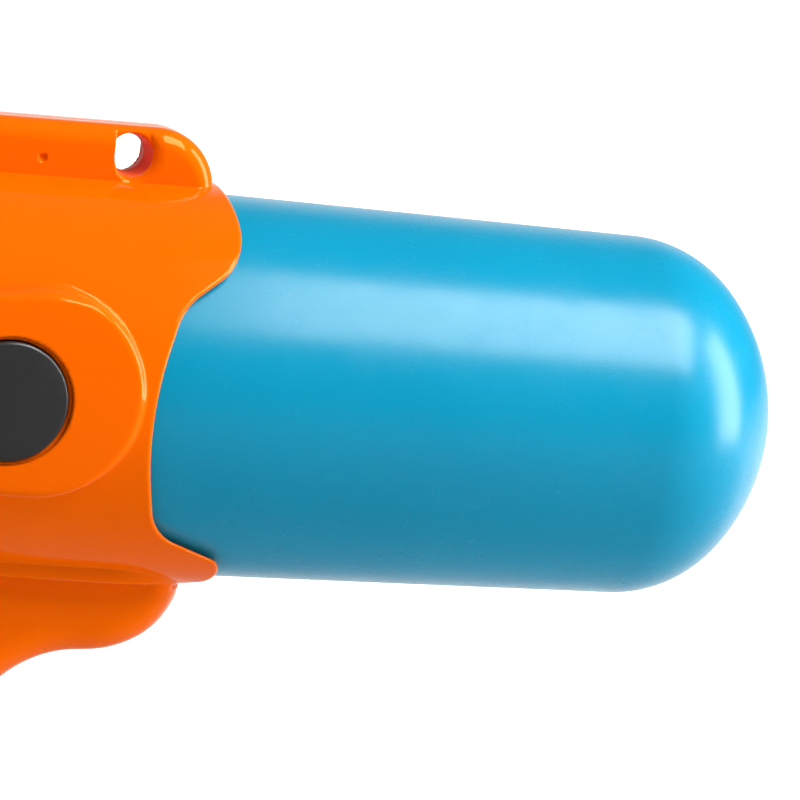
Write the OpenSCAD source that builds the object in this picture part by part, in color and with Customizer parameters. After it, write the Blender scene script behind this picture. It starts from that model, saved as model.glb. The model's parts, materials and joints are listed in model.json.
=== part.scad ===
// Large water squirter: a round tank screwed into the back of a two-part shell, with a hand pump,
// a trigger valve and a pressure release button.
// Lengths are millimetres. X runs along the tank, positive to the back, and 0 is the mouth of the sleeve.
// Z is up from the tank's axis and Y is across. place() moves all of it so that the base of the grip is at Z 0.

/* [Tank] */
// Largest radius of the tank
tank_r = 42.6; // [40:0.2:46]
// Length of the tank from its shoulder to the tip of its dome
tank_len = 163; // [140:1:200]
// Draft of the tank's side, in degrees
tank_draft = 1.25; // [0.2:0.05:2]
// Wall of the tank
tank_wall = 2.4; // [1.6:0.1:3]
// Radius of the tank's end dome
dome_r = 45.7; // [44:0.1:60]
// Radius that blends the side into the dome
dome_blend_r = 29.8; // [20:0.2:32]
// Radius that rounds the front shoulder
shoulder_r = 8; // [4:0.5:12]
// Depth of the shoulder inside the sleeve
tank_depth = 41; // [38:0.5:46]
// Outer radius of the screw neck
neck_r = 18.5; // [17:0.1:20]
// Wall of the screw neck
neck_wall = 4; // [3:0.1:5]
// Length of the screw neck
neck_len = 14; // [12:0.5:18]
// Pitch of the neck's thread
thread_pitch = 6; // [5:0.5:8]
// Height of the neck's thread
thread_h = 1.3; // [1:0.1:1.5]
// Turns of the neck's thread
thread_turns = 1.25; // [1:0.05:1.5]
// Thickness of the seal at the end of the neck
seal_t = 1.5; // [1:0.1:2.5]

/* [Shell] */
// Wall of the shell
wall = 2; // [1.6:0.1:2.4]
// Room between the tank and the sleeve
tank_gap = 0.7; // [0.5:0.1:1.5]
// Setback of the sleeve's upper lobe from the mouth
lobe_back = 9.5; // [7:0.5:12]
// Setback of the sleeve's waist from the mouth
waist_back = 31.9; // [29:0.1:34]
// Room beside the barrel inside the nose of the body
nose_room = 5; // [4:0.5:8]
// Rise of the roof over the barrel at the nose
roof_rise = 6; // [4:0.5:9]
// Half width of the stepped foot under the sleeve
skirt_half = 22.5; // [20:0.5:26]
// Rise of the foot's underside over the sleeve's lowest line
skirt_rise = 3.1; // [2:0.1:5]

/* [Rail] */
// Width of the top rail
rail_w = 15; // [13:0.5:20]
// Height of the rail over the sleeve
rail_rise = 12.7; // [11:0.1:16]
// Radius of the strap hole
strap_r = 4.5; // [3.5:0.1:5]
// Radius of the pocket round the strap hole
pocket_r = 6.2; // [5.8:0.1:7]
// Thickness of the web that the strap hole goes through
web_t = 11; // [8:0.5:12]

/* [Grip] */
// Width of the grip
grip_w = 32; // [28:0.5:38]
// Drop of the tang below the sleeve
tang_drop = 17.6; // [15:0.2:20]
// Height of the grip below the tang
grip_h = 95; // [85:1:110]
// Width of the trigger guard
guard_w = 18; // [14:0.5:22]
// Thickness of the trigger guard's strap
guard_t = 8; // [7:0.5:10]

/* [Button] */
// Radius of the release button
button_r = 13.1; // [11:0.1:14]
// Travel of the release button
button_travel = 3; // [2:0.1:3.5]
// Rise of the button's boss over the sleeve
boss_rise = 1.9; // [1.5:0.1:4]
// Radius of the boss's round end
boss_r = 22.4; // [20:0.1:25]

/* [Trigger and valve] */
// Radius of the trigger pin
pin_r = 2; // [1.5:0.1:2.5]
// Swing of the trigger, in degrees
trigger_swing = 9; // [6:0.5:9]
// Outer radius of the valve body
valve_r = 9.5; // [9:0.1:11]
// Radius of the valve stem
stem_r = 2.2; // [1.8:0.1:2.6]

/* [Barrel] */
// Height of the barrel over the tank's axis
barrel_z = 12; // [9:0.5:14]
// Outer radius of the barrel
barrel_r = 16; // [14:0.5:18]
// Outer radius of the outlet tube
outlet_r = 4; // [3.6:0.1:5]
// Length of the nozzle in front of the muzzle cap
nozzle_len = 16; // [10:0.5:24]
// Length of the muzzle cap
cap_len = 18; // [14:0.5:24]

/* [Pump] */
// Stroke of the pump
stroke = 62; // [50:1:80]
// Outer radius of the pump cylinder
cyl_r = 12; // [11:0.2:14]
// Wall of the pump cylinder
cyl_wall = 1.7; // [1.4:0.1:2.2]
// Radius of the pump rod
rod_r = 6.7; // [5.5:0.1:7]
// Radius of the pump handle
handle_r = 19; // [17:0.5:22]
// Length of the pump handle
handle_len = 86; // [76:1:110]

/* [Fits] */
// Clearance of a moving fit, and of a piece that slips into another
slip = 0.3; // [0.2:0.05:0.4]
// Clearance of a seated fit
seat = 0.05; // [0.03:0.01:0.1]
// Clearance of a seal or a running shaft
seal_gap = 0.1; // [0.06:0.01:0.15]

/* [Hidden] */
$fn = 64;
arc_steps = 7;
hose_sides = 12;
far = 400;

// Sleeve and tank
sleeve_in = tank_r + tank_gap;
sleeve_r = sleeve_in + wall;
shoulder_x = -tank_depth;
tank_tip = shoulder_x + tank_len;
draft_x = -5;
draft_slope = tan(tank_draft);
neck_x = shoulder_x - neck_len;
seat_x = neck_x - seal_t - 2 * seat;
rim_gap = 2;
thread_room = 1;
thread_root = 0.6;
thread_crest = 0.2;
thread_start = 2.5;
thread_root_w = 2.6;
thread_tip_w = 1.5;
seal_in = 0.4;
seal_out = 0.3;
socket_in = neck_r + thread_h + thread_room;
socket_step = 3;
socket_wall = 3.2;
socket_out = socket_in + socket_wall;

// Button, boss and the tank socket's chamber
vent_ahead = 5.4;
button_x = seat_x - vent_ahead;
button_stop = 5;
button_lip = 2.5;
button_flange = 1.5;
button_recess = 0.6;
bore_r = button_r + slip;
guide_in = button_r + button_flange + slip;
guide_wall = 1.8;
guide_r = guide_in + guide_wall;
boss_y = sleeve_r + boss_rise;
boss_lead = 7;
boss_z = 1.9;
boss_tail = [-28, -2.4];
boss_taper = 2.4;
boss_steps = 20;
boss_root = 20;
lip_y = boss_y - button_lip;
button_face_y = boss_y - button_recess;
flange_top_y = lip_y - slip;
flange_t = 1.8;
guide_end_y = flange_top_y - flange_t - button_travel - button_stop;
chamber_r = 11;
chamber_out = 15;
flange_r = 38;
guide_gap = 1;
flange_x1 = button_x - guide_r - guide_gap;
socket_flange_t = 3;
flange_x0 = flange_x1 - socket_flange_t;
chamber_floor = 3.6;
chamber_x = flange_x1 + chamber_floor;
vent_bore = 2.3;
vent_r = 2;
vent_boss_r = 5.2;
vent_seat_y = 9.5;
vent_rise = 4;
vent_top_y = socket_out + vent_rise;
vent_plate_t = 2;
vent_plate_in = 3.5;
vent_plug = 5;
vent_seal_t = 1.4;
poppet_t = 2;
poppet_r = 4.2;
dip_yz = [6, 3.2];
air_yz = [5.5, -6.5];
dip_r = 3.2;
dip_bore = 2;
dip_plug = 4;
dip_straight = 10;
dip_lead = 12;
dip_fall = 1;
dip_past = 2;
dip_clear = 11;
weight_r = 5;
weight_len = 11;
weight_end = 4;
weight_bore = 1.5;
weight_edge = 1;
weight_hole = 0.8;
barb_len = 9;
water_barb = 3.5;
air_barb = 2.7;
air_wall = 1.2;
air_bore = air_barb - air_wall;
hose_wall = 1.6;

// Trigger, valve and barrel
handle_drop = 3;
pump_z = barrel_z - barrel_r - handle_drop - handle_r;
cyl_room = 3;
floor_z = pump_z - cyl_r - cyl_room - wall;
trigger_ahead = 25.2;
trigger_rise = 7;
pivot_x = flange_x0 - trigger_ahead;
pivot_z = floor_z + trigger_rise;
arm_h = barrel_z - pivot_z;
arm_front = 6;
arm_t = 6;
blade_t = 9;
hub_r = 5.4;
pin_half = 16;
pin_boss = 2.6;
stem_x = pivot_x - arm_front - slip;
head_t = 2;
head_r = 4;
stem_stroke = (arm_h + head_r) * tan(trigger_swing) + 1;
stem_room = 0.8;
valve_x1 = stem_x - head_t - stem_stroke - stem_room;
stem_gap = 0.2;
stem_seal_w = 1.6;
gland_t = 3;
inlet_len = 10;
inlet_r = 6;
seat_t = 2.5;
valve_seal_t = 1.4;
disc_t = 2;
disc_r = 5.4;
spring_room = 6.6;
valve_bore = 6.5;
seat_hole = 3.6;
seat_front_x = valve_x1 - gland_t - inlet_len - seat_t;
valve_x0 = seat_front_x - valve_seal_t - disc_t - stem_stroke - spring_room;
inlet_y = valve_r + water_barb + 1;
inlet_x = valve_x1 - gland_t - inlet_len / 2;
plug_t = 3;
plug_rim = 2;
plug_bore = 1.6;
outlet_wall = 1.05;
outlet_bore = outlet_r - outlet_wall;

// Pump
head_len = 14;
head_flange = 3;
head_plug = 6;
head_body = 7;
seat_ball = 1;
ball_r = 3;
ball_room = 3.5;
ball_lift = 2.5;
ball_ledge = 1;
head_end = 2;
piston_t = 8;
piston_groove = 3;
gland_plug = 8;
gland_flange = 2;
gland_r = 9.6;
cyl_in = cyl_r - cyl_wall;
pump_ahead = 24;
cyl_x1 = pivot_x - pump_ahead;
cyl_len = head_plug + 1 + piston_t + stroke + 1 + gland_plug;
cyl_x0 = cyl_x1 - cyl_len;
piston_x1 = cyl_x1 - head_plug - 1;
front_x = cyl_x0 - 2 * seat - gland_flange - wall;
handle_gap = 6;
gland_out = 3;
handle_x1 = front_x - handle_gap;
handle_x0 = handle_x1 - handle_len;
handle_mid = (handle_x0 + handle_x1) / 2;
collar_r = 9.5;
collar_t = 4;
rod_step = 3;
groove_floor = 2;
grooves = 6;
groove_d = 1.6;
handle_wall = 3;
handle_end = 4;
handle_edge = 5;
handle_screw_in = 20;
handle_screw_drop = 5;
handle_post = 3.2;
handle_sink = 4.4;
guide_in_x = 6;
guide_w = 22;
guide_top = 2.4;
cap_x1 = handle_x0 - stroke - handle_gap;
cap_x0 = cap_x1 - cap_len;
cap_wall = 2.4;
cap_side = 2.6;
cap_edge = 0.6;
cap_round = 3;
barrel_x0 = cap_x0 + cap_wall + seat;
nozzle_r = 7;
tip_r = 4.2;
jet_r = 1;
jet_len = 4;
tip_edge = 0.8;
nozzle_step = 3;
nozzle_rim = 1.6;
nozzle_flange = 2.4;
tube_set = 4;
nozzle_x0 = cap_x0 - nozzle_len;

// Body outlines in X and Z
nose_half = barrel_r + nose_room + wall;
roof_z = barrel_z + barrel_r + roof_rise;
rail_z = sleeve_r + rail_rise;
tang_z = -sleeve_r - tang_drop;
grip_z = tang_z - grip_h;
tang_x = 1 - lobe_back;
web_back = 63.5;
web_x = pivot_x + web_back;
grip_back = 51;
back_x = pivot_x + grip_back;
grip_ahead = 14;
grip_front = pivot_x + grip_ahead;
guard_drop = 43;
guard_z = floor_z - guard_drop;
narrow_back = 8;
narrow_x1 = pivot_x + narrow_back;
narrow_ahead = 60;
narrow_x0 = pivot_x - narrow_ahead;
skirt_h = 12;
skirt_x1 = tang_x + 0.8;
skirt_x0 = grip_front + 6;
side_bulge = 60;
strap_back = 30.5;
strap_drop = 7;
strap = [-strap_back, rail_z - strap_drop];

// Places of the shell's screws: X, Z and the depth of the head's seat
shell_screw_places = [
    [flange_x0 - 9, 32, 20],
    [flange_x0 - 8, -32, 20],
    [pivot_x + 38, tang_z - 14, 8],
    [pivot_x + 44, grip_z + 14, 8],
    [front_x + 26, barrel_z - 15, 14],
    [pivot_x - 46.5, floor_z - 8, 4]
];
screw_r = 1.3;
screw_head_r = 2.9;
screw_head_t = 2;
screw_post = 3.6;
screw_sink = 5;
screw_tail = 6;
rib_t = 2;
rib_in = 34;
valve_rib = valve_x1 - 18;
nose_rib = front_x + 14;

// How far the whole model is moved
mid_x = (tank_tip + nozzle_x0) / 2;

function unit(v) = v / norm(v);
function flat(p) = [p[0], p[1]];
function wrap(a) = a > 180 ? a - 360 : a < -180 ? a + 360 : a;

// One corner of an outline, rounded by an arc that meets both of its sides
function corner(a, p, b, r) =
    let (
        u = unit(a - p),
        w = unit(b - p),
        half = acos(u * w) / 2,
        c = p + unit(u + w) * r / sin(half),
        s = p + u * r / tan(half) - c,
        e = p + w * r / tan(half) - c,
        start = atan2(s[1], s[0]),
        turn = wrap(atan2(e[1], e[0]) - start)
    )
    [for (i = [0:arc_steps]) c + r * [cos(start + turn * i / arc_steps), sin(start + turn * i / arc_steps)]];

function before(pts, i) = pts[(i + len(pts) - 1) % len(pts)];
function after(pts, i) = pts[(i + 1) % len(pts)];

// An outline from its corners, each X, Z and a radius where it is rounded
function outline(pts) = [
    for (i = [0:len(pts) - 1])
        each len(pts[i]) > 2
            ? corner(flat(before(pts, i)), flat(pts[i]), flat(after(pts, i)), pts[i][2])
            : [pts[i]]
];

function outward(a, b) = let (t = unit(b - a)) [t[1], -t[0]];

// The same corners moved out by d, for an outline that runs anticlockwise
function grown(pts, d) = [
    for (i = [0:len(pts) - 1])
        let (
            p = flat(pts[i]),
            n1 = outward(flat(before(pts, i)), p),
            n2 = outward(p, flat(after(pts, i))),
            q = p + (n1 + n2) * d / (1 + n1 * n2),
            bend = n1[0] * n2[1] - n1[1] * n2[0]
        )
        len(pts[i]) > 2 ? [q[0], q[1], max(0.5, pts[i][2] + (bend > 0 ? d : -d))] : q
];

// A smooth path through hand-set points
function smooth(pts, steps) = [
    for (i = [0:len(pts) - 2])
        let (
            a = pts[max(i - 1, 0)],
            b = pts[i],
            c = pts[i + 1],
            d = pts[min(i + 2, len(pts) - 1)]
        )
        for (k = [0:steps - 1])
            let (t = k / steps)
            (2 * b + (c - a) * t + (2 * a - 5 * b + 4 * c - d) * t * t
                + (3 * b - a - 3 * c + d) * t * t * t) / 2,
    pts[len(pts) - 1]
];

// A round tube swept along a path, with its rings turned from the reference direction
module sweep(path, r, sides, reference) {
    n = len(path);
    rings = [
        for (i = [0:n - 1])
            let (
                t = unit(path[min(i + 1, n - 1)] - path[max(i - 1, 0)]),
                u = unit(cross(t, reference)),
                w = cross(t, u)
            )
            for (k = [0:sides - 1])
                path[i] + r * (cos(360 * k / sides) * u + sin(360 * k / sides) * w)
    ];
    walls = [
        for (i = [0:n - 2])
            for (k = [0:sides - 1])
                let (a = i * sides + k, b = i * sides + (k + 1) % sides)
                each [[a, b, b + sides], [a, b + sides, a + sides]]
    ];
    first = [for (k = [1:sides - 2]) [0, k + 1, k]];
    last = [for (k = [1:sides - 2]) [0, k, k + 1] + (n - 1) * sides * [1, 1, 1]];
    polyhedron(points = rings, faces = [for (f = concat(walls, first, last)) [f[0], f[2], f[1]]]);
}

// A path with a straight piece added at each end
function longer(path, d) =
    let (n = len(path))
    concat(
        [path[0] + d * unit(path[0] - path[1])],
        path,
        [path[n - 1] + d * unit(path[n - 1] - path[n - 2])]
    );

// A hose: a swept tube with a bore that clears a rod of radius r_in
module hose(pts, r_out, r_in) {
    path = smooth(pts, 4);
    difference() {
        sweep(path, r_out, hose_sides, [0, 0, 1]);
        sweep(longer(path, 1), r_in / cos(180 / hose_sides), hose_sides, [0, 0, 1]);
    }
}

// A compression spring along X from x0 to x1
module coil(x0, x1, r, wire, turns) {
    steps = turns * 8;
    path = [
        for (i = [0:steps])
            let (a = 360 * turns * i / steps)
            [x0 + wire + (x1 - x0 - 2 * wire) * i / steps, r * cos(a), r * sin(a)]
    ];
    sweep(path, wire, 6, [1, 0, 0]);
}

// A helical ridge about X that starts at x0
module ridge(r_root, r_tip, x0) {
    rings = ceil(thread_turns * 20);
    root = thread_root_w / 2;
    tip = thread_tip_w / 2;
    rise = [[-root, r_root], [-tip, r_tip], [tip, r_tip], [root, r_root]];
    section = r_tip > r_root ? rise : reversed(rise);
    points = [
        for (i = [0:rings])
            let (a = 360 * thread_turns * i / rings)
            for (s = section)
                [x0 + thread_pitch * a / 360 + s[0], s[1] * cos(a), s[1] * sin(a)]
    ];
    sides = [
        for (i = [0:rings - 1])
            for (k = [0:3])
                let (a = i * 4 + k, b = i * 4 + (k + 1) % 4)
                each [[a, b, b + 4], [a, b + 4, a + 4]]
    ];
    end = rings * 4;
    polyhedron(
        points = points,
        faces = concat(sides, [[0, 2, 1], [0, 3, 2], [end, end + 1, end + 2], [end, end + 2, end + 3]])
    );
}

module x_rod(r, x0, x1, y = 0, z = 0) {
    translate([x0, y, z]) rotate([0, 90, 0]) cylinder(r = r, h = x1 - x0);
}

module y_rod(r, y0, y1, x, z) {
    translate([x, y1, z]) rotate([90, 0, 0]) cylinder(r = r, h = y1 - y0);
}

// A rod across Y on the left (-1) or right (1) side, from y0 to y1 off the middle
module side_rod(side, r, y0, y1, x, z) {
    y_rod(r, side > 0 ? y0 : -y1, side > 0 ? y1 : -y0, x, z);
}

// A turned shape about X from its outline in X and radius
module x_turn(pts, z = 0) {
    translate([0, 0, z]) rotate([0, 90, 0]) rotate_extrude() polygon([for (p = pts) [p[1], p[0]]]);
}

module x_ring(r_in, r_out, x0, x1, z = 0) {
    x_turn([[x0, r_in], [x1, r_in], [x1, r_out], [x0, r_out]], z);
}

module y_ring(r_in, r_out, y0, y1, x, z) {
    difference() {
        y_rod(r_out, y0, y1, x, z);
        y_rod(r_in, y0 - 1, y1 + 1, x, z);
    }
}

// An outline in X and Z, given thickness across Y
module side_plate(pts, y0, y1) {
    translate([0, y1, 0]) rotate([90, 0, 0]) linear_extrude(height = y1 - y0) polygon(pts);
}

module place() {
    translate([-mid_x, 0, -grip_z]) children();
}

// Keeps the left (-1) or right (1) side
module one_side(side) {
    intersection() {
        children();
        translate([-far * 1.5, side > 0 ? 0 : -far, -far]) cube([far * 2, far, far * 2]);
    }
}

// What two copies of a form, moved by y to each side, have in common
module common_to_both(y) {
    intersection() {
        translate([0, y, 0]) children();
        translate([0, -y, 0]) children();
    }
}

// Body: the sleeve, flat-sided towards the nose
module receiver(d) {
    half = nose_half + d;
    intersection() {
        x_rod(sleeve_r + d, front_x - d, 6);
        translate([0, 0, -far / 2]) linear_extrude(height = far) polygon([
            [8, sleeve_r + 2], [narrow_x1, sleeve_r + 2 + d], [narrow_x0, half], [front_x - 2, half],
            [front_x - 2, -half], [narrow_x0, -half], [narrow_x1, -sleeve_r - 2 - d], [8, -sleeve_r - 2]
        ]);
        side_plate([
            [8, sleeve_r + 2], [narrow_x1, sleeve_r + 2], [front_x - 2, roof_z + d],
            [front_x - 2, floor_z - d], [narrow_x0, floor_z - d], [narrow_x1, -sleeve_r - 2], [8, -sleeve_r - 2]
        ], -far / 4, far / 4);
    }
}

module barrel(d, reach) {
    x_rod(barrel_r + d, barrel_x0 - reach, front_x + 12, 0, barrel_z);
}

// The button's raised boss: a round end joined to a smaller one by their tangents
module boss(d, side) {
    r1 = boss_r + d;
    r2 = r1 - boss_taper;
    c1 = [button_x + boss_lead, boss_z];
    c2 = c1 + boss_tail;
    axis = atan2(boss_tail[1], boss_tail[0]);
    lean = acos(boss_taper / norm(boss_tail));
    top = boss_y + d;
    side_plate(concat(
        arc(c1, r1, axis + lean, axis + 360 - lean, boss_steps),
        arc(c2, r2, axis - lean, axis + lean, boss_steps)
    ), side > 0 ? boss_root : -top, side > 0 ? top : -boss_root);
}

module rail(d) {
    hollow_x = strap[0] - 13;
    back = d < 0
        ? [[hollow_x, sleeve_r - 12], [hollow_x, rail_z]]
        : [[-lobe_back, sleeve_r - 12], [-lobe_back - 2.6, rail_z, 12.5]];
    pts = concat(back, [[narrow_x0 + 18, rail_z, 22], [front_x + 22, roof_z - 6], [front_x + 22, roof_z - 14]]);
    side_plate(outline(grown(pts, d)), -rail_w / 2 - d, rail_w / 2 + d);
}

// The tang and pistol grip
module grip(d) {
    half = grip_w / 2 + d;
    nose = half + 1;
    corners = [
        [tang_x, -sleeve_r + 14], [grip_front - 2, -sleeve_r + 14], [grip_front, tang_z - 22, 12],
        [grip_front + 11, grip_z, 6], [back_x + 15, grip_z, 6], [back_x, tang_z - 20, 24],
        [web_x, tang_z, 14], [tang_x, tang_z, 24]
    ];
    split_z = tang_z - 6;
    middle_x = (grip_front + back_x) / 2 + 2;
    intersection() {
        side_plate(outline(grown(corners, d)), -grip_w, grip_w);
        union() {
            translate([tang_x + d - nose, 0, split_z]) cylinder(r = nose, h = far / 4);
            translate([-far / 2, -nose, split_z]) cube([far / 2 + tang_x + d - nose, 2 * nose, far / 4]);
            intersection() {
                common_to_both(side_bulge - grip_w / 2)
                    translate([middle_x, 0, grip_z - 1]) cylinder(r = side_bulge + d, h = far / 4);
                translate([-far, -far / 2, grip_z - 1]) cube([far * 2, far, split_z + 1 - grip_z + 1]);
            }
        }
    }
}

// The stepped foot of the sleeve, over the tang
module skirt() {
    bend = skirt_half - 0.1;
    translate([0, 0, skirt_rise - sleeve_r]) linear_extrude(height = skirt_h) polygon(outline([
        [skirt_x0, -skirt_half], [skirt_x1, -skirt_half, bend], [skirt_x1, skirt_half, bend],
        [skirt_x0, skirt_half]
    ]));
}

// The solid strap of the trigger guard
module guard() {
    difference() {
        side_plate(outline([
            [grip_front + 1, floor_z + 1], [pivot_x - 52, floor_z + 1], [pivot_x - 47, guard_z, 18],
            [grip_front + 3, guard_z - 3]
        ]), -guard_w / 2, guard_w / 2);
        side_plate(outline([
            [grip_front - 1, floor_z - 3.5, 5], [pivot_x - 51 + guard_t, floor_z - 3.5, 5],
            [pivot_x - 45 + guard_t, guard_z + guard_t, 12], [grip_front + 1, guard_z + guard_t - 1, 7]
        ]), -guard_w, guard_w);
    }
}

// The envelope of the shell, d larger all round and with the barrel's front end moved by reach
module body_form(d, reach) {
    receiver(d);
    barrel(d, reach);
    rail(d);
    grip(d);
    boss(d, -1);
    boss(d, 1);
}

// A rib across the body from x0
module rib(x0) {
    translate([x0, -sleeve_r, 1 - sleeve_r]) cube([rib_t, 2 * sleeve_r, 2 * sleeve_r - 2]);
}

// What holds the works inside the shell
module inner_frame(side) {
    difference() {
        union() {
            rib(flange_x1 + seat);
            rib(flange_x0 - seat - rib_t);
        }
        x_rod(rib_in, flange_x0 - 5, flange_x1 + 5);
    }
    difference() {
        rib(valve_rib);
        x_rod(valve_r + seat, valve_rib - 1, valve_rib + rib_t + 1, 0, barrel_z);
        x_rod(cyl_r + seat, valve_rib - 1, valve_rib + rib_t + 1, 0, pump_z);
    }
    difference() {
        rib(nose_rib);
        x_rod(outlet_r + seat, nose_rib - 1, nose_rib + rib_t + 1, 0, barrel_z);
        x_rod(cyl_r + seat, nose_rib - 1, nose_rib + rib_t + 1, 0, pump_z);
    }
    for (s = shell_screw_places)
        side_rod(side, side > 0 ? screw_sink : screw_post, 0, sleeve_r, s[0], s[1]);
    side_rod(side, pin_r + pin_boss, blade_t / 2 + slip, sleeve_r, pivot_x, pivot_z);
    side_rod(side, guide_r, guide_end_y, boss_y, button_x, 0);
}

// The wave of the sleeve's edge over the tank, as the space that is cut away
module mouth_cut() {
    high = sleeve_r + 30;
    side_plate(outline([
        [60, high], [-lobe_back, high], [-lobe_back, 32.1, 10.5], [-lobe_back - 14.3, 22.2, 13.6],
        [-waist_back, -2, 58], [-waist_back + 7, -27.5, 9], [-8, -33.7, 3.5], [-0.5, -45.5],
        [-0.5, -high], [60, -high]
    ]), -far / 4, far / 4);
}

// The strap hole, with a pocket on each side that is open to the top
module strap_cut() {
    y_rod(strap_r, -rail_w, rail_w, strap[0], strap[1]);
    for (side = [-1, 1])
        translate([0, side * (web_t / 2 + 5), 0]) {
            y_rod(pocket_r, -5, 5, strap[0], strap[1]);
            translate([strap[0] - pocket_r, -5, strap[1]]) cube([2 * pocket_r, 10, 20]);
        }
}

module trigger_slot() {
    half = blade_t / 2 + slip;
    translate([pivot_x - 17, -half, floor_z - 7]) cube([29, 2 * half, 12]);
}

module screw_holes(side) {
    for (s = shell_screw_places) {
        y_rod(screw_r + seat, -screw_tail - 1, s[2] + 1, s[0], s[1]);
        if (side > 0)
            y_rod(screw_head_r + slip, s[2], sleeve_r + 5, s[0], s[1]);
    }
}

module button_holes(side) {
    if (side < 0) {
        y_rod(bore_r, -boss_y - 1, -lip_y + 1, button_x, 0);
        y_rod(guide_in, -lip_y, -guide_end_y + 1, button_x, 0);
    } else
        y_rod(bore_r, flange_top_y - flange_t, boss_y + 1, button_x, 0);
}

module shell(side) {
    difference() {
        one_side(side) {
            difference() {
                union() {
                    body_form(0, 0);
                    skirt();
                }
                body_form(-wall, 3);
            }
            intersection() {
                inner_frame(side);
                body_form(-wall / 2, 0);
            }
            guard();
        }
        mouth_cut();
        strap_cut();
        trigger_slot();
        screw_holes(side);
        button_holes(side);
        y_rod(pin_r + seat, -pin_half - seat, pin_half + seat, pivot_x, pivot_z);
        x_rod(gland_r + seat, front_x - 1, front_x + wall + 1, 0, pump_z);
    }
}

module left_shell() {
    color("darkorange") shell(-1);
}

module right_shell() {
    color("darkorange") shell(1);
}

// A screw across Y with its head's underside at y
module screw(x, y, z, tail) {
    y_rod(screw_head_r, y, y + screw_head_t, x, z);
    y_rod(screw_r, -tail, y + 0.5, x, z);
}

module shell_screws() {
    color("silver")
        for (s = shell_screw_places)
            screw(s[0], s[2] + seat, s[1], screw_tail);
}

// Centre of the arc that blends the tank's side into its dome
dome_x = tank_tip - dome_r;
side_r0 = tank_r + draft_slope * draft_x - dome_blend_r / cos(tank_draft);
blend_a = 1 + draft_slope * draft_slope;
blend_b = dome_x + side_r0 * draft_slope;
blend_c = dome_x * dome_x + side_r0 * side_r0 - (dome_r - dome_blend_r) * (dome_r - dome_blend_r);
blend_x = (blend_b + sqrt(blend_b * blend_b - blend_a * blend_c)) / blend_a;
blend_rr = side_r0 - draft_slope * blend_x;
dome_angle = atan2(blend_rr, blend_x - dome_x);

function arc(c, r, a0, a1, steps) = [
    for (i = [0:steps])
        let (a = a0 + (a1 - a0) * i / steps)
        c + r * [cos(a), sin(a)]
];

// The tank's side in X and radius, d outside its surface, from the shoulder to the dome's tip
function tank_side(d) = concat(
    arc([shoulder_x + shoulder_r, tank_r - shoulder_r], shoulder_r + d, 180, 90, 6),
    [[draft_x, tank_r + d]],
    arc([blend_x, blend_rr], dome_blend_r + d, 90 - tank_draft, dome_angle, 10),
    [for (p = arc([dome_x, 0], dome_r + d, dome_angle, 0, 8)) if (p[1] < tank_r * 0.9) [p[0], max(p[1], 0)]]
);

function reversed(list) = [for (i = [len(list) - 1:-1:0]) list[i]];

module tank() {
    bore = neck_r - neck_wall;
    color("deepskyblue") {
        x_turn(concat(
            [[neck_x, bore], [neck_x, neck_r], [shoulder_x, neck_r]],
            tank_side(0),
            reversed(tank_side(-tank_wall)),
            [[shoulder_x + tank_wall, bore]]
        ));
        ridge(neck_r - thread_root, neck_r + thread_h, neck_x + thread_start);
    }
}

module tank_seal() {
    x1 = neck_x - seat;
    color("black") x_ring(neck_r - neck_wall + seal_in, neck_r - seal_out, x1 - seal_t, x1);
}

module tank_socket() {
    rim_x = shoulder_x - rim_gap;
    front = flange_x0 - barb_len;
    color("whitesmoke") difference() {
        union() {
            x_turn([
                [rim_x, socket_in], [rim_x, socket_out], [seat_x - socket_step, socket_out],
                [seat_x - socket_step, chamber_out], [flange_x1, chamber_out], [flange_x1, flange_r],
                [flange_x0, flange_r], [flange_x0, 0],
                [chamber_x, 0], [chamber_x, chamber_r], [seat_x, chamber_r], [seat_x, socket_in]
            ]);
            ridge(
                socket_in + thread_root, socket_in - thread_h - thread_crest,
                neck_x + thread_start - thread_pitch / 2
            );
            y_rod(vent_boss_r, -vent_top_y, -vent_seat_y, button_x, 0);
            y_rod(button_r - vent_plate_in, -vent_top_y, -vent_top_y + vent_plate_t, button_x, 0);
            x_rod(water_barb, front, flange_x0 + 1, dip_yz[0], dip_yz[1]);
            x_rod(air_barb, front, flange_x0 + 1, air_yz[0], air_yz[1]);
        }
        y_rod(vent_bore, -vent_top_y - 1, 1 - vent_seat_y, button_x, 0);
        x_rod(dip_bore, front - 1, chamber_x + 1, dip_yz[0], dip_yz[1]);
        x_rod(dip_r + seat, chamber_x - dip_plug, chamber_x + 1, dip_yz[0], dip_yz[1]);
        x_rod(air_bore, front - 1, chamber_x + 1, air_yz[0], air_yz[1]);
    }
}

// The dip tube runs through the neck and down to the tank's lowest side
dip_end = [blend_x + dip_past, 0, dip_clear - tank_r];

// Bends of the dip tube, as shares of its way along, across and down inside the tank
dip_bends = [[0.28, 0.17, 0.33], [0.56, 0.67, 0.74], [0.83, 1, 0.98]];

module dip_tube() {
    y = dip_yz[0];
    z = dip_yz[1];
    high = [shoulder_x + dip_lead, y, z - dip_fall];
    low = [blend_x - dip_lead, 0, dip_end[2]];
    bends = [for (s = dip_bends) [for (i = [0:2]) high[i] + (low[i] - high[i]) * s[i]]];
    color("lightgray") hose(concat(
        [[chamber_x - dip_plug + 2 * seat, y, z], [chamber_x + dip_straight, y, z], [neck_x, y, z], high],
        bends,
        [low, dip_end]
    ), dip_r, dip_bore);
}

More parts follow.
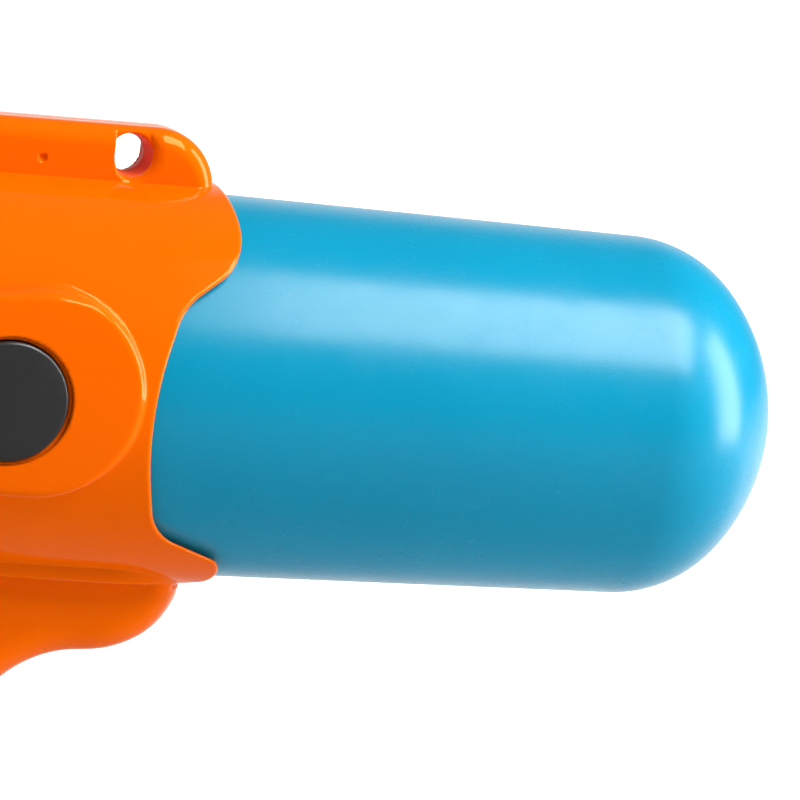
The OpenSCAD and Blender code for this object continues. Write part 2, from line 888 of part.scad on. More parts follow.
module dip_weight() {
    x0 = dip_end[0] - weight_len;
    x1 = dip_end[0] + weight_end;
    stop_x = dip_end[0] + seat;
    translate([0, 0, dip_end[2]]) color("dimgray") difference() {
        x_turn([
            [x0, dip_r + seat], [stop_x, dip_r + seat], [stop_x, weight_bore], [x1, weight_bore],
            [x1, weight_r - weight_edge], [x1 - weight_edge, weight_r], [x0, weight_r]
        ]);
        for (a = [0, 90])
            rotate([a, 0, 0]) translate([dip_end[0] + 2 * weight_hole, 0, 0])
                cylinder(r = weight_hole, h = 2 * weight_r + 2, center = true);
    }
}

hub_end_y = vent_top_y + button_travel + 1;
button_hub_r = 5;
module release_button() {
    under = flange_top_y - flange_t;
    color([0.24, 0.24, 0.24]) difference() {
        union() {
            y_rod(button_r, -button_face_y, -under, button_x, 0);
            y_rod(button_r + button_flange, -flange_top_y, -under, button_x, 0);
            y_rod(button_hub_r, -under - 1, -hub_end_y, button_x, 0);
        }
        y_rod(vent_r + seat, -hub_end_y - vent_plug, 1 - hub_end_y, button_x, 0);
    }
}

module vent_stem() {
    top = vent_seat_y - seal_gap - vent_seal_t;
    color("gainsboro") {
        y_rod(vent_r, -hub_end_y - vent_plug + 2 * seat, -top, button_x, 0);
        y_rod(poppet_r, -top, poppet_t - top, button_x, 0);
    }
}

module vent_seal() {
    top = vent_seat_y - seal_gap;
    color("black") y_ring(vent_r + seat, poppet_r + 0.3, -top, vent_seal_t - top, button_x, 0);
}

module button_spring() {
    color("silver") translate([button_x, 0, 0]) rotate([0, 0, -90])
        coil(vent_top_y + seal_gap, flange_top_y - flange_t - seal_gap, button_hub_r + 2.5, 0.6, 5);
}

module right_cap() {
    color([0.24, 0.24, 0.24]) y_rod(button_r, flange_top_y - flange_t + seat, button_face_y, button_x, 0);
}

module trigger() {
    arm = [
        [4, -4], [3, arm_h + 6, 2], [-arm_front, arm_h + 6, 2], [-arm_front, -4]
    ];
    tip = guard_z + guard_t + 4 - pivot_z;
    blade = [
        [4, 3, 3], [-7, 3, 3], [-9, -10, 8], [-5, 0.6 * tip, 18], [-9.5, tip + 1.5, 2.4], [-4, tip, 2.4],
        [0, 0.6 * tip, 24], [4, -8, 8]
    ];
    color([0.24, 0.24, 0.24]) translate([pivot_x, 0, pivot_z]) difference() {
        union() {
            side_plate(outline(arm), -arm_t / 2, arm_t / 2);
            side_plate(outline(blade), -blade_t / 2, blade_t / 2);
            y_rod(hub_r, -blade_t / 2, blade_t / 2, 0, 0);
        }
        y_rod(pin_r + seat, -blade_t, blade_t, 0, 0);
    }
}

module trigger_pin() {
    color("silver") y_rod(pin_r, -pin_half, pin_half, pivot_x, pivot_z);
}

module valve_body() {
    gland_x = valve_x1 - gland_t;
    color("whitesmoke") difference() {
        union() {
            x_rod(valve_r, valve_x0, valve_x1, 0, barrel_z);
            y_rod(water_barb + 1, valve_r - 2, inlet_y + water_barb + 1.5, inlet_x, barrel_z);
            x_rod(water_barb, inlet_x, valve_x1 + barb_len, inlet_y, barrel_z);
        }
        x_turn([
            [valve_x1 + 1, 0], [valve_x1 + 1, stem_r + stem_gap], [gland_x + stem_seal_w, stem_r + stem_gap],
            [gland_x + stem_seal_w, stem_r + stem_seal_w], [gland_x, stem_r + stem_seal_w], [gland_x, inlet_r],
            [gland_x - inlet_len, inlet_r], [gland_x - inlet_len, seat_hole],
            [seat_front_x, seat_hole], [seat_front_x, valve_bore], [valve_x0 - 1, valve_bore], [valve_x0 - 1, 0]
        ], barrel_z);
        y_rod(dip_bore - 0.3, 2, inlet_y, inlet_x, barrel_z);
        x_rod(dip_bore, inlet_x - 2.4, valve_x1 + barb_len + 1, inlet_y, barrel_z);
    }
}

plug_x1 = valve_x0 + plug_t;
module valve_plug() {
    color("gainsboro") x_turn([
        [plug_x1, dip_bore], [plug_x1, valve_bore - seat], [valve_x0 - seat, valve_bore - seat],
        [valve_x0 - seat, valve_r], [valve_x0 - plug_rim, valve_r], [valve_x0 - plug_rim, outlet_bore - seat],
        [valve_x0 - plug_rim - barb_len, outlet_bore - seat], [valve_x0 - plug_rim - barb_len, plug_bore]
    ], barrel_z);
}

module valve_stem() {
    back = seat_front_x - seal_gap - valve_seal_t;
    color("gainsboro") {
        x_rod(head_r, stem_x - head_t, stem_x, 0, barrel_z);
        x_rod(stem_r, back, stem_x, 0, barrel_z);
        x_rod(disc_r, back - disc_t, back, 0, barrel_z);
    }
}

module valve_seal() {
    top = seat_front_x - seal_gap;
    color("black") x_ring(stem_r + seat, disc_r + 0.2, top - valve_seal_t, top, barrel_z);
}

module stem_seal() {
    x0 = valve_x1 - gland_t + seat;
    x1 = x0 + stem_seal_w - 2 * seat;
    color("black") x_ring(stem_r + seal_gap, stem_r + stem_seal_w - seat, x0, x1, barrel_z);
}

module valve_spring() {
    color("silver") translate([0, 0, barrel_z])
        coil(plug_x1 + seal_gap, seat_front_x - 2 * seal_gap - valve_seal_t - disc_t, 4.4, 0.4, 6);
}

module water_hose() {
    x0 = flange_x0 - 0.5;
    x1 = valve_x1 + 1;
    y0 = dip_yz[0];
    z0 = dip_yz[1];
    color("white") hose([
        [x0, y0, z0], [x0 - 5, y0, z0], [x0 - barb_len, y0, z0], [x0 - barb_len - 3, y0, z0],
        [(x0 + x1) / 2, (y0 + inlet_y) / 2, (z0 + barrel_z) / 2], [x1 + barb_len + 3, inlet_y, barrel_z],
        [x1 + barb_len, inlet_y, barrel_z], [x1 + 5, inlet_y, barrel_z], [x1, inlet_y, barrel_z]
    ], water_barb + hose_wall, water_barb + 2 * seat);
}

tube_front = cap_x0 + cap_wall + tube_set;
module outlet_tube() {
    color("white") x_ring(outlet_bore, outlet_r, tube_front, valve_x0 - plug_rim - seat, barrel_z);
}

module muzzle_cap() {
    r = barrel_r + seat;
    out = barrel_r + cap_side;
    color([0.24, 0.24, 0.24]) x_turn([
        [cap_x1, r], [cap_x1, out - cap_edge], [cap_x1 - cap_edge, out],
        [cap_x0 + cap_round, out], [cap_x0, out - cap_round],
        [cap_x0, nozzle_r + seat], [cap_x0 + cap_wall, nozzle_r + seat], [cap_x0 + cap_wall, r]
    ], barrel_z);
}

module nozzle() {
    back = cap_x0 + cap_wall + seat;
    spigot = outlet_bore - seat;
    color("deepskyblue") x_turn([
        [nozzle_x0, jet_r], [nozzle_x0, tip_r - tip_edge], [nozzle_x0 + tip_edge, tip_r],
        [cap_x0 - nozzle_step, nozzle_r - tip_edge], [cap_x0 - nozzle_step, nozzle_r + nozzle_rim],
        [cap_x0 - seat, nozzle_r + nozzle_rim], [cap_x0 - seat, nozzle_r], [back, nozzle_r],
        [back, nozzle_r + nozzle_flange], [tube_front - seat, nozzle_r + nozzle_flange],
        [tube_front - seat, spigot], [tube_front + barb_len, spigot], [tube_front + barb_len, plug_bore],
        [nozzle_x0 + jet_len, plug_bore]
    ], barrel_z);
}

module pump_cylinder() {
    color("whitesmoke") x_ring(cyl_in, cyl_r, cyl_x0, cyl_x1, pump_z);
}

ball_seat_x = cyl_x1 + seat_ball;
barb_x = cyl_x1 + 8;
barb_lean = 45;

// A point along the pump's air barb, and x behind it
function barb_point(along, x) = [barb_x + x, along * sin(barb_lean), pump_z + along * cos(barb_lean)];

module barb_rod(r, length) {
    translate([barb_x, 0, pump_z]) rotate([-barb_lean, 0, 0]) cylinder(r = r, h = length);
}

module pump_head() {
    color("gainsboro") difference() {
        union() {
            x_rod(cyl_in - seat, cyl_x1 - head_plug, cyl_x1 + 1, 0, pump_z);
            x_rod(cyl_r, cyl_x1 + seat, cyl_x1 + head_flange, 0, pump_z);
            x_rod(head_body, cyl_x1 + 1, cyl_x1 + head_len, 0, pump_z);
            barb_rod(air_barb, head_body + barb_len);
        }
        x_rod(ball_r - ball_ledge, cyl_x1 - head_plug - 1, ball_seat_x + 1, 0, pump_z);
        x_rod(ball_room, ball_seat_x, cyl_x1 + head_len - head_end, 0, pump_z);
        barb_rod(air_bore, head_body + barb_len + 1);
    }
}

module pump_gland() {
    plug_x = cyl_x0 + gland_plug;
    flange_x = cyl_x0 - seat - gland_flange;
    bore = rod_r + seal_gap;
    color([0.24, 0.24, 0.24]) x_turn([
        [plug_x, bore], [plug_x, cyl_in - seat], [cyl_x0 - seat, cyl_in - seat], [cyl_x0 - seat, cyl_r],
        [flange_x, cyl_r], [flange_x, gland_r], [front_x - gland_out, gland_r],
        [front_x - gland_out, bore]
    ], pump_z);
}

module check_ball() {
    color("gray") translate([ball_seat_x + ball_lift, 0, pump_z]) sphere(r = ball_r);
}

module check_spring() {
    color("silver") translate([0, 0, pump_z])
        coil(ball_seat_x + ball_lift + 2.4, cyl_x1 + head_len - head_end - seal_gap, 2.2, 0.25, 4);
}

module air_hose() {
    x1 = flange_x0 - 0.5;
    y1 = air_yz[0];
    z1 = air_yz[1];
    color("white") hose([
        barb_point(head_body + 0.6, 0), barb_point(head_body + 5, 0), barb_point(head_body + barb_len + 0.2, 0),
        barb_point(head_body + 12.8, 0.6), barb_point(head_body + 16.2, 2.9), barb_point(head_body + 18, 7.2),
        [barb_x + 13.5, y1 + 10.7, z1 - 1.1], [barb_x + 19.5, y1 + 6.9, z1 - 0.5],
        [x1 - 16.7, y1 + 3.1, z1 - 0.2], [x1 - 12.5, y1 + 0.8, z1], [x1 - 8.7, y1, z1],
        [x1 - 4.5, y1, z1], [x1, y1, z1]
    ], air_barb + hose_wall, air_barb + 2 * seat);
}

rod_tip = handle_x0 + handle_end;
module pump_rod() {
    tail = piston_x1 - piston_t / 2;
    color("whitesmoke") {
        x_rod(rod_r, rod_tip, piston_x1 - piston_t, 0, pump_z);
        x_rod(rod_r - rod_step, rod_tip, tail, 0, pump_z);
        x_rod(collar_r, handle_mid - collar_t / 2, handle_mid + collar_t / 2, 0, pump_z);
    }
}

piston_r = cyl_in - slip;
groove_x0 = piston_x1 - piston_t / 2 - piston_groove / 2;
module piston() {
    x0 = piston_x1 - piston_t + seat;
    inner = rod_r - rod_step + seat;
    floor_r = piston_r - groove_floor;
    color("gainsboro") x_turn([
        [x0, inner], [piston_x1 - piston_t / 2 + seat, inner], [piston_x1 - piston_t / 2 + seat, 0],
        [piston_x1, 0], [piston_x1, piston_r], [groove_x0 + piston_groove, piston_r],
        [groove_x0 + piston_groove, floor_r], [groove_x0, floor_r], [groove_x0, piston_r], [x0, piston_r]
    ], pump_z);
}

module piston_seal() {
    inner = piston_r - groove_floor + seat;
    x1 = groove_x0 + piston_groove - seat;
    color("black") x_ring(inner, cyl_in - seal_gap, groove_x0 + seat, x1, pump_z);
}

// The handle's side in X and radius: a row of finger grooves between round ends
handle_side = concat(
    [[handle_x0, handle_r - handle_edge]],
    [
        for (i = [0:grooves * 6])
            let (t = i / (grooves * 6))
            [
                handle_x0 + handle_end + (handle_len - 2 * handle_end) * t,
                handle_r - groove_d * (1 - cos(360 * grooves * t)) / 2
            ]
    ],
    [[handle_x1, handle_r - handle_edge]]
);

handle_screw_x = [handle_x0 + handle_screw_in, handle_x1 - handle_screw_in];
handle_screw_z = pump_z - rod_r - handle_screw_drop;
handle_screw_y = 5;
handle_screw_tail = 5;
module handle_half(side) {
    half_gap = collar_t / 2 + seat;
    hollow_gap = half_gap + handle_wall;
    post = side > 0 ? handle_sink : handle_post;
    hollow_in = rod_r + 0.5;
    hollow_out = handle_r - groove_d - handle_wall;
    color([0.24, 0.24, 0.24]) difference() {
        one_side(side) {
            difference() {
                union() {
                    x_turn(concat([[handle_x0, 0]], handle_side, [[handle_x1, 0]]), pump_z);
                    translate([handle_x0 + guide_in_x, -guide_w / 2, pump_z])
                        cube([handle_len - 2 * guide_in_x, guide_w, handle_r + guide_top]);
                }
                x_ring(hollow_in, hollow_out, handle_x0 + handle_end, handle_mid - hollow_gap, pump_z);
                x_ring(hollow_in, hollow_out, handle_mid + hollow_gap, handle_x1 - handle_end, pump_z);
                x_rod(barrel_r + 2 * slip, handle_x0 - 1, handle_x1 + 1, 0, barrel_z);
            }
            for (x = handle_screw_x)
                side_rod(side, post, 0, handle_r - handle_end, x, handle_screw_z);
        }
        x_rod(rod_r + seat, rod_tip - 1, handle_x1 + 1, 0, pump_z);
        x_rod(collar_r + seat, handle_mid - half_gap, handle_mid + half_gap, 0, pump_z);
        for (x = handle_screw_x) {
            y_rod(screw_r + seat, -handle_screw_tail - 1, handle_screw_y + 1, x, handle_screw_z);
            if (side > 0)
                y_rod(screw_head_r + slip, handle_screw_y, handle_r + 2, x, handle_screw_z);
        }
    }
}

module handle_left() {
    handle_half(-1);
}

module handle_right() {
    handle_half(1);
}

module handle_screws() {
    color("silver")
        for (x = handle_screw_x)
            screw(x, handle_screw_y + seat, handle_screw_z, handle_screw_tail);
}

place() left_shell();
place() right_shell();
place() shell_screws();
place() tank();
place() tank_seal();
place() tank_socket();
place() dip_tube();
place() dip_weight();
place() release_button();
place() vent_stem();
place() vent_seal();
place() button_spring();
place() right_cap();
place() trigger();
place() trigger_pin();
place() valve_body();
place() valve_plug();
place() valve_stem();
place() valve_seal();
place() stem_seal();
place() valve_spring();
place() water_hose();
place() outlet_tube();
place() muzzle_cap();
place() nozzle();
place() pump_cylinder();
place() pump_head();
place() pump_gland();
place() check_ball();
place() check_spring();
place() air_hose();
place() pump_rod();
place() piston();
place() piston_seal();
place() handle_left();
place() handle_right();
place() handle_screws();
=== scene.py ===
"""Looks of the large water squirter: glossy orange shells round a satin blue tank, on a pale floor.

Shapes are worked out in millimetres from the sleeve's mouth on the tank's axis: X runs back along the
tank, Z is up, and the camera stands on the -Y side. Moulded pieces are signed distance fields, meshed
by a net of quads, and turned pieces are lathed from their outlines.
"""
import json
from itertools import product
from math import atan, cos, pi, radians, sin, tan

import bpy
import numpy as np
from mathutils import Matrix, Vector


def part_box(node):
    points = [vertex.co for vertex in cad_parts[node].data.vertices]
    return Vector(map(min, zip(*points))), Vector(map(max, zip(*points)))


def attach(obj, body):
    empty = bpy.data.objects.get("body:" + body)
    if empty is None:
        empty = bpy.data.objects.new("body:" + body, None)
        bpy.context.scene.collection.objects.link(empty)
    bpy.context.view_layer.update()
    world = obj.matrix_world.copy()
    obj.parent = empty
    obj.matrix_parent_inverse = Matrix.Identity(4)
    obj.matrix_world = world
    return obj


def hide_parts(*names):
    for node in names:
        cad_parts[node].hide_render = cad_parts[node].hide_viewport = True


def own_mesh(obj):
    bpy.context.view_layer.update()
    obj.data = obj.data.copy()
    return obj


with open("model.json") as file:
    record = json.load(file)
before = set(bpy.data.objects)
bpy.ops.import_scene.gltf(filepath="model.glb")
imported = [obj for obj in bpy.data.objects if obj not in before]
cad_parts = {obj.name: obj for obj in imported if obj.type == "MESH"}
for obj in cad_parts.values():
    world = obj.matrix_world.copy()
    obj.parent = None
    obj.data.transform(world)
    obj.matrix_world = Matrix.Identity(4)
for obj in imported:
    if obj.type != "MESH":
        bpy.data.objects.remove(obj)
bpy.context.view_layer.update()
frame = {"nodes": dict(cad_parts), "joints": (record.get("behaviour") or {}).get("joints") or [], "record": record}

# Places from the frame
MM = 0.001
TANK_TIP = 122.0
tank_lo, tank_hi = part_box("tank")
ORIGIN = np.array([tank_hi.x - TANK_TIP * MM, 0.0, (tank_lo.z + tank_hi.z) / 2])


def local(point):
    """A point of the frame, in millimetres from the mouth."""
    return (np.array(point) - ORIGIN) / MM


def node_box(node):
    low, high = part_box(node)
    return local(low), local(high)


def joint_place(name):
    return local(next(j["pos_m"] for j in frame["joints"] if j["name"] == name))


SHELL_LO, SHELL_HI = node_box("left_shell")
BUTTON_LO, BUTTON_HI = node_box("release_button")
GLAND_LO, GLAND_HI = node_box("pump_gland")
HANDLE_LO, HANDLE_HI = node_box("handle_left")
ROD_LO, ROD_HI = node_box("pump_rod")
CAP_LO, CAP_HI = node_box("muzzle_cap")
NOZZLE_LO, NOZZLE_HI = node_box("nozzle")
VALVE_HI = node_box("valve_body")[1]
SOCKET_LO = node_box("tank_socket")[0]
PIVOT = joint_place("trigger_pull")

# Receiver and barrel
WALL = 2.0
SLEEVE_R = 45.3
BARREL_Z = (CAP_LO[2] + CAP_HI[2]) / 2
BARREL_R = 16.0
FRONT_X = GLAND_LO[0] + 3.0
PUMP_Z = (GLAND_LO[2] + GLAND_HI[2]) / 2
FLOOR_Z = PIVOT[2] - 7.0
FLOOR_SLOPE = 0.063
FLOOR_BEND = 2.0
FLOOR_SOFT = 3.0
NOSE_HALF = 23.0
NOSE_ROUND = 5.0
NARROW_X = PIVOT[0] - 60.0
FLARE = 0.357
FLARE_BEND = 6.0
SIDE_SOFT = 8.0
ROOF_Z = 34.0
ROOF_SLOPE = 0.107
ROOF_SOFT = 5.0
RIB_HALF = 1.0
SOCKET_RING_R = 34.0
OUTLET_BORE = 9.55
PUMP_BORE = 12.05
GLAND_BORE = 9.65

# Top rail, with its strap hole, scoop and dimple
RAIL_HALF = 7.5
RAIL_Z = SHELL_HI[2] - 0.9
RAIL_ROUND = 4.6
STRAP_X = -31.7
STRAP_Z = RAIL_Z - 6.3
STRAP_R = 4.9
STRAP_DRAFT = 0.13
WEB_HALF = 6.0
SCOOP_FRONT = 4.0
SCOOP_REAR = 6.2
SCOOP_DOWN = 5.9
SCOOP_FLAT = 0.78
SCOOP_LEAN_FRONT = 0.16
SCOOP_LEAN_REAR = 0.2
SCOOP_END = 1.08
SCOOP_SIZE = 5.0
SCOOP_SLOPE = 0.6
DIMPLE = (-51.8, RAIL_HALF + 0.3, 48.8)
DIMPLE_R = 1.05

# Button and its boss
BUTTON_X = (BUTTON_LO[0] + BUTTON_HI[0]) / 2
BUTTON_R = 13.1
BUTTON_GAP = 0.2
BORE_START = 20.0
RECESS_GAP = 1.0
RECESS_DEPTH = 2.4
BOSS_X = BUTTON_X + 7.0
BOSS_Y = -SHELL_LO[1]
BOSS_Z = 1.9
BOSS_R = 23.0
BOSS_LENGTH = 28.1
BOSS_TAPER = 2.4
BOSS_TURN = 0.0855
BOSS_DROP = 0.8
BOSS_CROWN_R = 170.0
BOSS_ROUND = 1.8
BOSS_TOP_ROUND = 5.2

# Grip, its tang, the skirt over the tang and the guard
TANG_X = -8.6
TANG_Z = -62.9
TANG_END = TANG_X - 11.0
TANG_SOLID = TANG_X - 8.0
TANG_HALF = 17.0
TANG_ROUND = 9.0
GRIP_X = PIVOT[0] + 32.5
GRIP_Z = SHELL_LO[2]
GRIP_LEAN = 0.178
GRIP_HALF = 16.0
GRIP_BULGE_R = 60.0
GRIP_ROUND = 8.0
FOOT_ROUND = 3.0
SKIRT_X = -30.2
SKIRT_Z = -42.4
SKIRT_R = 23.2
SKIRT_TOP = -20.0
SKIRT_FRONT = PIVOT[0] + 20.0
GUARD_Z = FLOOR_Z - 43.0
GUARD_HALF = 9.0
SLOT_X = PIVOT[0] - 2.5
SLOT_Z = FLOOR_Z - 1.0
SLOT_HALVES = (14.5, 4.8, 6.0)

# Seam and screws (X, Z, and the depth of the hole's floor)
SEAM = 0.03
SEAM_ROUND = 0.35
SCREW_HOLE_R = 3.2
SHELL_SCREWS = [
    (-91.7, 32.0, 20.0), (-90.7, -32.0, 20.0), (PIVOT[0] + 38, TANG_Z - 14, 8.0),
    (PIVOT[0] + 44, GRIP_Z + 14, 8.0), (FRONT_X + 26, BARREL_Z - 15, 14.0),
    (PIVOT[0] - 46.5, FLOOR_Z - 8, 4.0),
]


# Signed distances
def join(a, b, r):
    """Both forms, with a round fillet of radius r where they meet."""
    reach = np.hypot(np.maximum(r - a, 0), np.maximum(r - b, 0))
    return np.maximum(np.minimum(a, b), r) - reach


def meet(a, b, r):
    """What both forms share, with its edges rounded to radius r."""
    reach = np.hypot(np.maximum(r + a, 0), np.maximum(r + b, 0))
    return np.minimum(np.maximum(a, b), -r) + reach


def cut(form, tool, r):
    """A form less a tool, with the new edges rounded to radius r."""
    return meet(form, -tool, r)


def soft_min(a, b, k):
    """The smaller of two values, eased over where they differ by less than k."""
    return np.minimum(a, b) - np.maximum(k - np.abs(a - b), 0) ** 2 / (4 * k)


def soft_max(a, b, k):
    return -soft_min(-a, -b, k)


def smoothstep(v, start, end):
    t = np.clip((v - start) / (end - start), 0, 1)
    return t * t * (3 - 2 * t)


def arc_points(before, at, after, radius, steps):
    """Points of the arc that rounds one corner."""
    u = (before - at) / np.linalg.norm(before - at)
    w = (after - at) / np.linalg.norm(after - at)
    half = np.arccos(np.clip(u @ w, -1, 1)) / 2
    centre = at + (u + w) / np.linalg.norm(u + w) * radius / sin(half)
    first = at + u * radius / tan(half) - centre
    last = at + w * radius / tan(half) - centre
    start = np.arctan2(first[1], first[0])
    turn = (np.arctan2(last[1], last[0]) - start + pi) % (2 * pi) - pi
    angles = start + turn * np.linspace(0, 1, steps + 1)
    return centre + radius * np.stack([np.cos(angles), np.sin(angles)], 1)


def outline(corners, steps=10, closed=True):
    """Points of an outline from its corners, each two places and a radius where it is rounded."""
    flat = np.array([c[:2] for c in corners], float)
    n = len(corners)
    rows = []
    for i, c in enumerate(corners):
        if len(c) < 3 or (not closed and i in (0, n - 1)):
            rows.append(flat[i:i + 1])
        else:
            rows.append(arc_points(flat[i - 1], flat[i], flat[(i + 1) % n], c[2], steps))
    return np.concatenate(rows)


def rounded(corners):
    """Straight edges and arcs of a closed outline, from corners written as for outline()."""
    flat = np.array([c[:2] for c in corners], float)
    n = len(corners)
    stops, arcs = [], []
    for i, c in enumerate(corners):
        if len(c) < 3:
            stops.append((flat[i], flat[i]))
            continue
        before, after = flat[i - 1] - flat[i], flat[(i + 1) % n] - flat[i]
        before, after = before / np.linalg.norm(before), after / np.linalg.norm(after)
        half = np.arccos(before @ after) / 2
        centre = flat[i] + (before + after) / np.linalg.norm(before + after) * c[2] / sin(half)
        stops.append((flat[i] + before * c[2] / tan(half), flat[i] + after * c[2] / tan(half)))
        arcs.append((centre, *stops[-1], c[2]))
    return [(stops[i][1], stops[(i + 1) % n][0]) for i in range(n)], arcs


def within(shape, u, v):
    """Signed distance to a closed outline made by rounded()."""
    edges, arcs = shape
    size = np.broadcast_shapes(np.shape(u), np.shape(v))
    best = np.full(size, 1e12, np.float32)
    inside = np.zeros(size, bool)
    for a, b in edges:
        e = b - a
        du, dv = u - np.float32(a[0]), v - np.float32(a[1])
        t = np.clip((du * e[0] + dv * e[1]) / (e @ e), 0, 1)
        best = np.minimum(best, (du - e[0] * t) ** 2 + (dv - e[1] * t) ** 2)
    for centre, first, last, radius in arcs:
        du, dv = u - np.float32(centre[0]), v - np.float32(centre[1])
        s, e = first - centre, last - centre
        way = np.sign(s[0] * e[1] - s[1] * e[0])
        between = (way * (s[0] * dv - s[1] * du) >= 0) & (way * (du * e[1] - dv * e[0]) >= 0)
        reach = du * du + dv * dv
        best = np.where(between, np.minimum(best, (np.sqrt(reach) - radius) ** 2), best)
        inside ^= (reach < radius ** 2) & (du * (s + e)[0] + dv * (s + e)[1] > s @ (s + e))
    for a, b in edges + [(first, last) for _, first, last, _ in arcs]:
        if a[1] != b[1]:
            crosses = (a[1] <= v) != (b[1] <= v)
            inside ^= crosses & (u < a[0] + (v - a[1]) * ((b[0] - a[0]) / (b[1] - a[1])))
    return np.where(inside, -1, 1) * np.sqrt(best)


# Body, with its outlines seen from the side
RAIL = rounded([
    (-10.7, 33.3), (-13.3, RAIL_Z, 13.5), (NARROW_X + 18, RAIL_Z, 22),
    (FRONT_X + 22, 28), (FRONT_X + 22, 20),
])
GRIP = rounded([
    (TANG_X, -31.3), (PIVOT[0] + 12, -31.3), (PIVOT[0] + 14, TANG_Z - 22, 12),
    (PIVOT[0] + 25, GRIP_Z, 6), (PIVOT[0] + 66, GRIP_Z, 6), (PIVOT[0] + 48.5, TANG_Z - 20, 24),
    (PIVOT[0] + 61.4, TANG_Z + 1.6, 24), (TANG_X, TANG_Z + 4.7, 24),
])
GUARD_OUT = rounded([
    (PIVOT[0] + 15, FLOOR_Z + 1), (PIVOT[0] - 52, FLOOR_Z + 1), (PIVOT[0] - 47, GUARD_Z, 18),
    (PIVOT[0] + 17, GUARD_Z - 3),
])
GUARD_IN = rounded([
    (PIVOT[0] + 13, FLOOR_Z - 3.5, 5), (PIVOT[0] - 43, FLOOR_Z - 3.5, 5),
    (PIVOT[0] - 37, GUARD_Z + 8, 12), (PIVOT[0] + 15, GUARD_Z + 7, 7),
])
MOUTH = rounded([
    (60, 75), (-15.5, 75), (-9.3, 40, 20), (-9.6, 31.8, 13), (-23.8, 22.2, 13.6), (-31.9, -2, 58),
    (-24.6, -28.7, 12), (-6.4, -35.7, 4.5), (-6.4, -41.7, 3.4), (-14, -43.8), (-11.8, -43.8),
    (-11.8, -45.6), (-7.5, -45.6), (-7.5, -50), (60, -50),
])


def receiver(x, y, z):
    """The sleeve's cylinder, drawn in to a flat-sided nose."""
    side = np.abs(y) - NOSE_HALF
    flare = (side - (x - NARROW_X) * FLARE) * cos(atan(FLARE))
    roof = (z - ROOF_Z - (x - FRONT_X) * ROOF_SLOPE) * cos(atan(ROOF_SLOPE))
    floor = soft_min(FLOOR_Z - z, FLOOR_Z - z - (x - NARROW_X) * FLOOR_SLOPE, FLOOR_BEND)
    form = soft_max(np.hypot(y, z) - SLEEVE_R, soft_min(side, flare, FLARE_BEND), SIDE_SOFT)
    form = soft_max(soft_max(form, roof, ROOF_SOFT), floor, FLOOR_SOFT)
    return meet(form, FRONT_X - x, NOSE_ROUND)


def barrel(x, y, z):
    """The barrel's tube, from inside the muzzle cap to inside the nose."""
    ends = np.maximum(CAP_LO[0] + 2.5 - x, x - FRONT_X - 12)
    return np.maximum(np.hypot(y, z - BARREL_Z) - BARREL_R, ends)


def grip(x, y, z):
    """The tang, narrow and round at its end, running into the bulged grip."""
    tang = np.hypot(np.maximum(x - TANG_END, 0), y) - TANG_HALF
    middle = GRIP_X + (TANG_Z - 22 - z) * GRIP_LEAN
    bulge = np.hypot(x - middle, np.abs(y) + GRIP_BULGE_R - GRIP_HALF) - GRIP_BULGE_R
    share = smoothstep(z, TANG_Z + 2, TANG_Z - 24)
    foot = smoothstep(z, GRIP_Z + 16, GRIP_Z + 5)
    edge = TANG_ROUND + (GRIP_ROUND - TANG_ROUND) * share + (FOOT_ROUND - GRIP_ROUND) * foot
    return meet(within(GRIP, x, z), tang * (1 - share) + bulge * share, edge)


def skirt(x, y, z):
    """The stepped foot of the sleeve, over the tang."""
    plan = np.hypot(np.maximum(x - SKIRT_X, 0), y) - SKIRT_R
    ends = np.maximum(z - SKIRT_TOP, SKIRT_FRONT - x)
    return np.maximum(meet(plan, SKIRT_Z - z, r=0.3), ends)


def boss(x, y, z):
    """The button's raised boss: a round end and a smaller one, joined by their tangents."""
    px, pz = BOSS_X - x, BOSS_Z - z
    along = px * cos(BOSS_TURN) + pz * sin(BOSS_TURN)
    off = np.abs(pz * cos(BOSS_TURN) - px * sin(BOSS_TURN))
    lean = BOSS_TAPER / BOSS_LENGTH
    t = np.clip(along - off * lean, 0, BOSS_LENGTH)
    face = np.abs(y) + pz ** 2 / (2 * BOSS_CROWN_R) - BOSS_Y + BOSS_DROP
    edge = BOSS_ROUND + (BOSS_TOP_ROUND - BOSS_ROUND) * smoothstep(-pz, 19.5, 23.5)
    return meet(np.hypot(along - t, off) - BOSS_R + lean * t, face, edge)


def guard(x, y, z):
    strap = cut(within(GUARD_OUT, x, z), within(GUARD_IN, x, z), r=0.5)
    return meet(strap, np.abs(y) - GUARD_HALF, r=3)


def body(x, y, z):
    """The outside of both halves, with a fillet of its own for each join."""
    form = join(receiver(x, y, z), barrel(x, y, z), r=4)
    form = join(form, meet(within(RAIL, x, z), np.abs(y) - RAIL_HALF, RAIL_ROUND), r=0.3)
    form = join(form, boss(x, y, z), r=0.8)
    form = join(form, skirt(x, y, z), r=0.3)
    form = join(form, grip(x, y, z), r=0.8)
    return join(form, guard(x, y, z), r=3)


def hollow(x, y, z):
    """The room inside the shell, less the ribs. The tang's end is solid."""
    handle_room = np.maximum(grip(x, y, z), x - TANG_SOLID)
    room = np.minimum(np.minimum(receiver(x, y, z), barrel(x - 6, y, z)), handle_room) + WALL
    ring = SOCKET_RING_R - np.hypot(y, z)
    for place in (SOCKET_LO[0] + 7, SOCKET_LO[0] + 13.1):
        room = np.maximum(room, -np.maximum(np.abs(x - place) - RIB_HALF, ring))
    bores = np.maximum(OUTLET_BORE - np.hypot(y, z - BARREL_Z), PUMP_BORE - np.hypot(y, z - PUMP_Z))
    for place in (VALVE_HI[0] - 26, FRONT_X + 15):
        room = np.maximum(room, -np.maximum(np.abs(x - place) - RIB_HALF, bores))
    return room


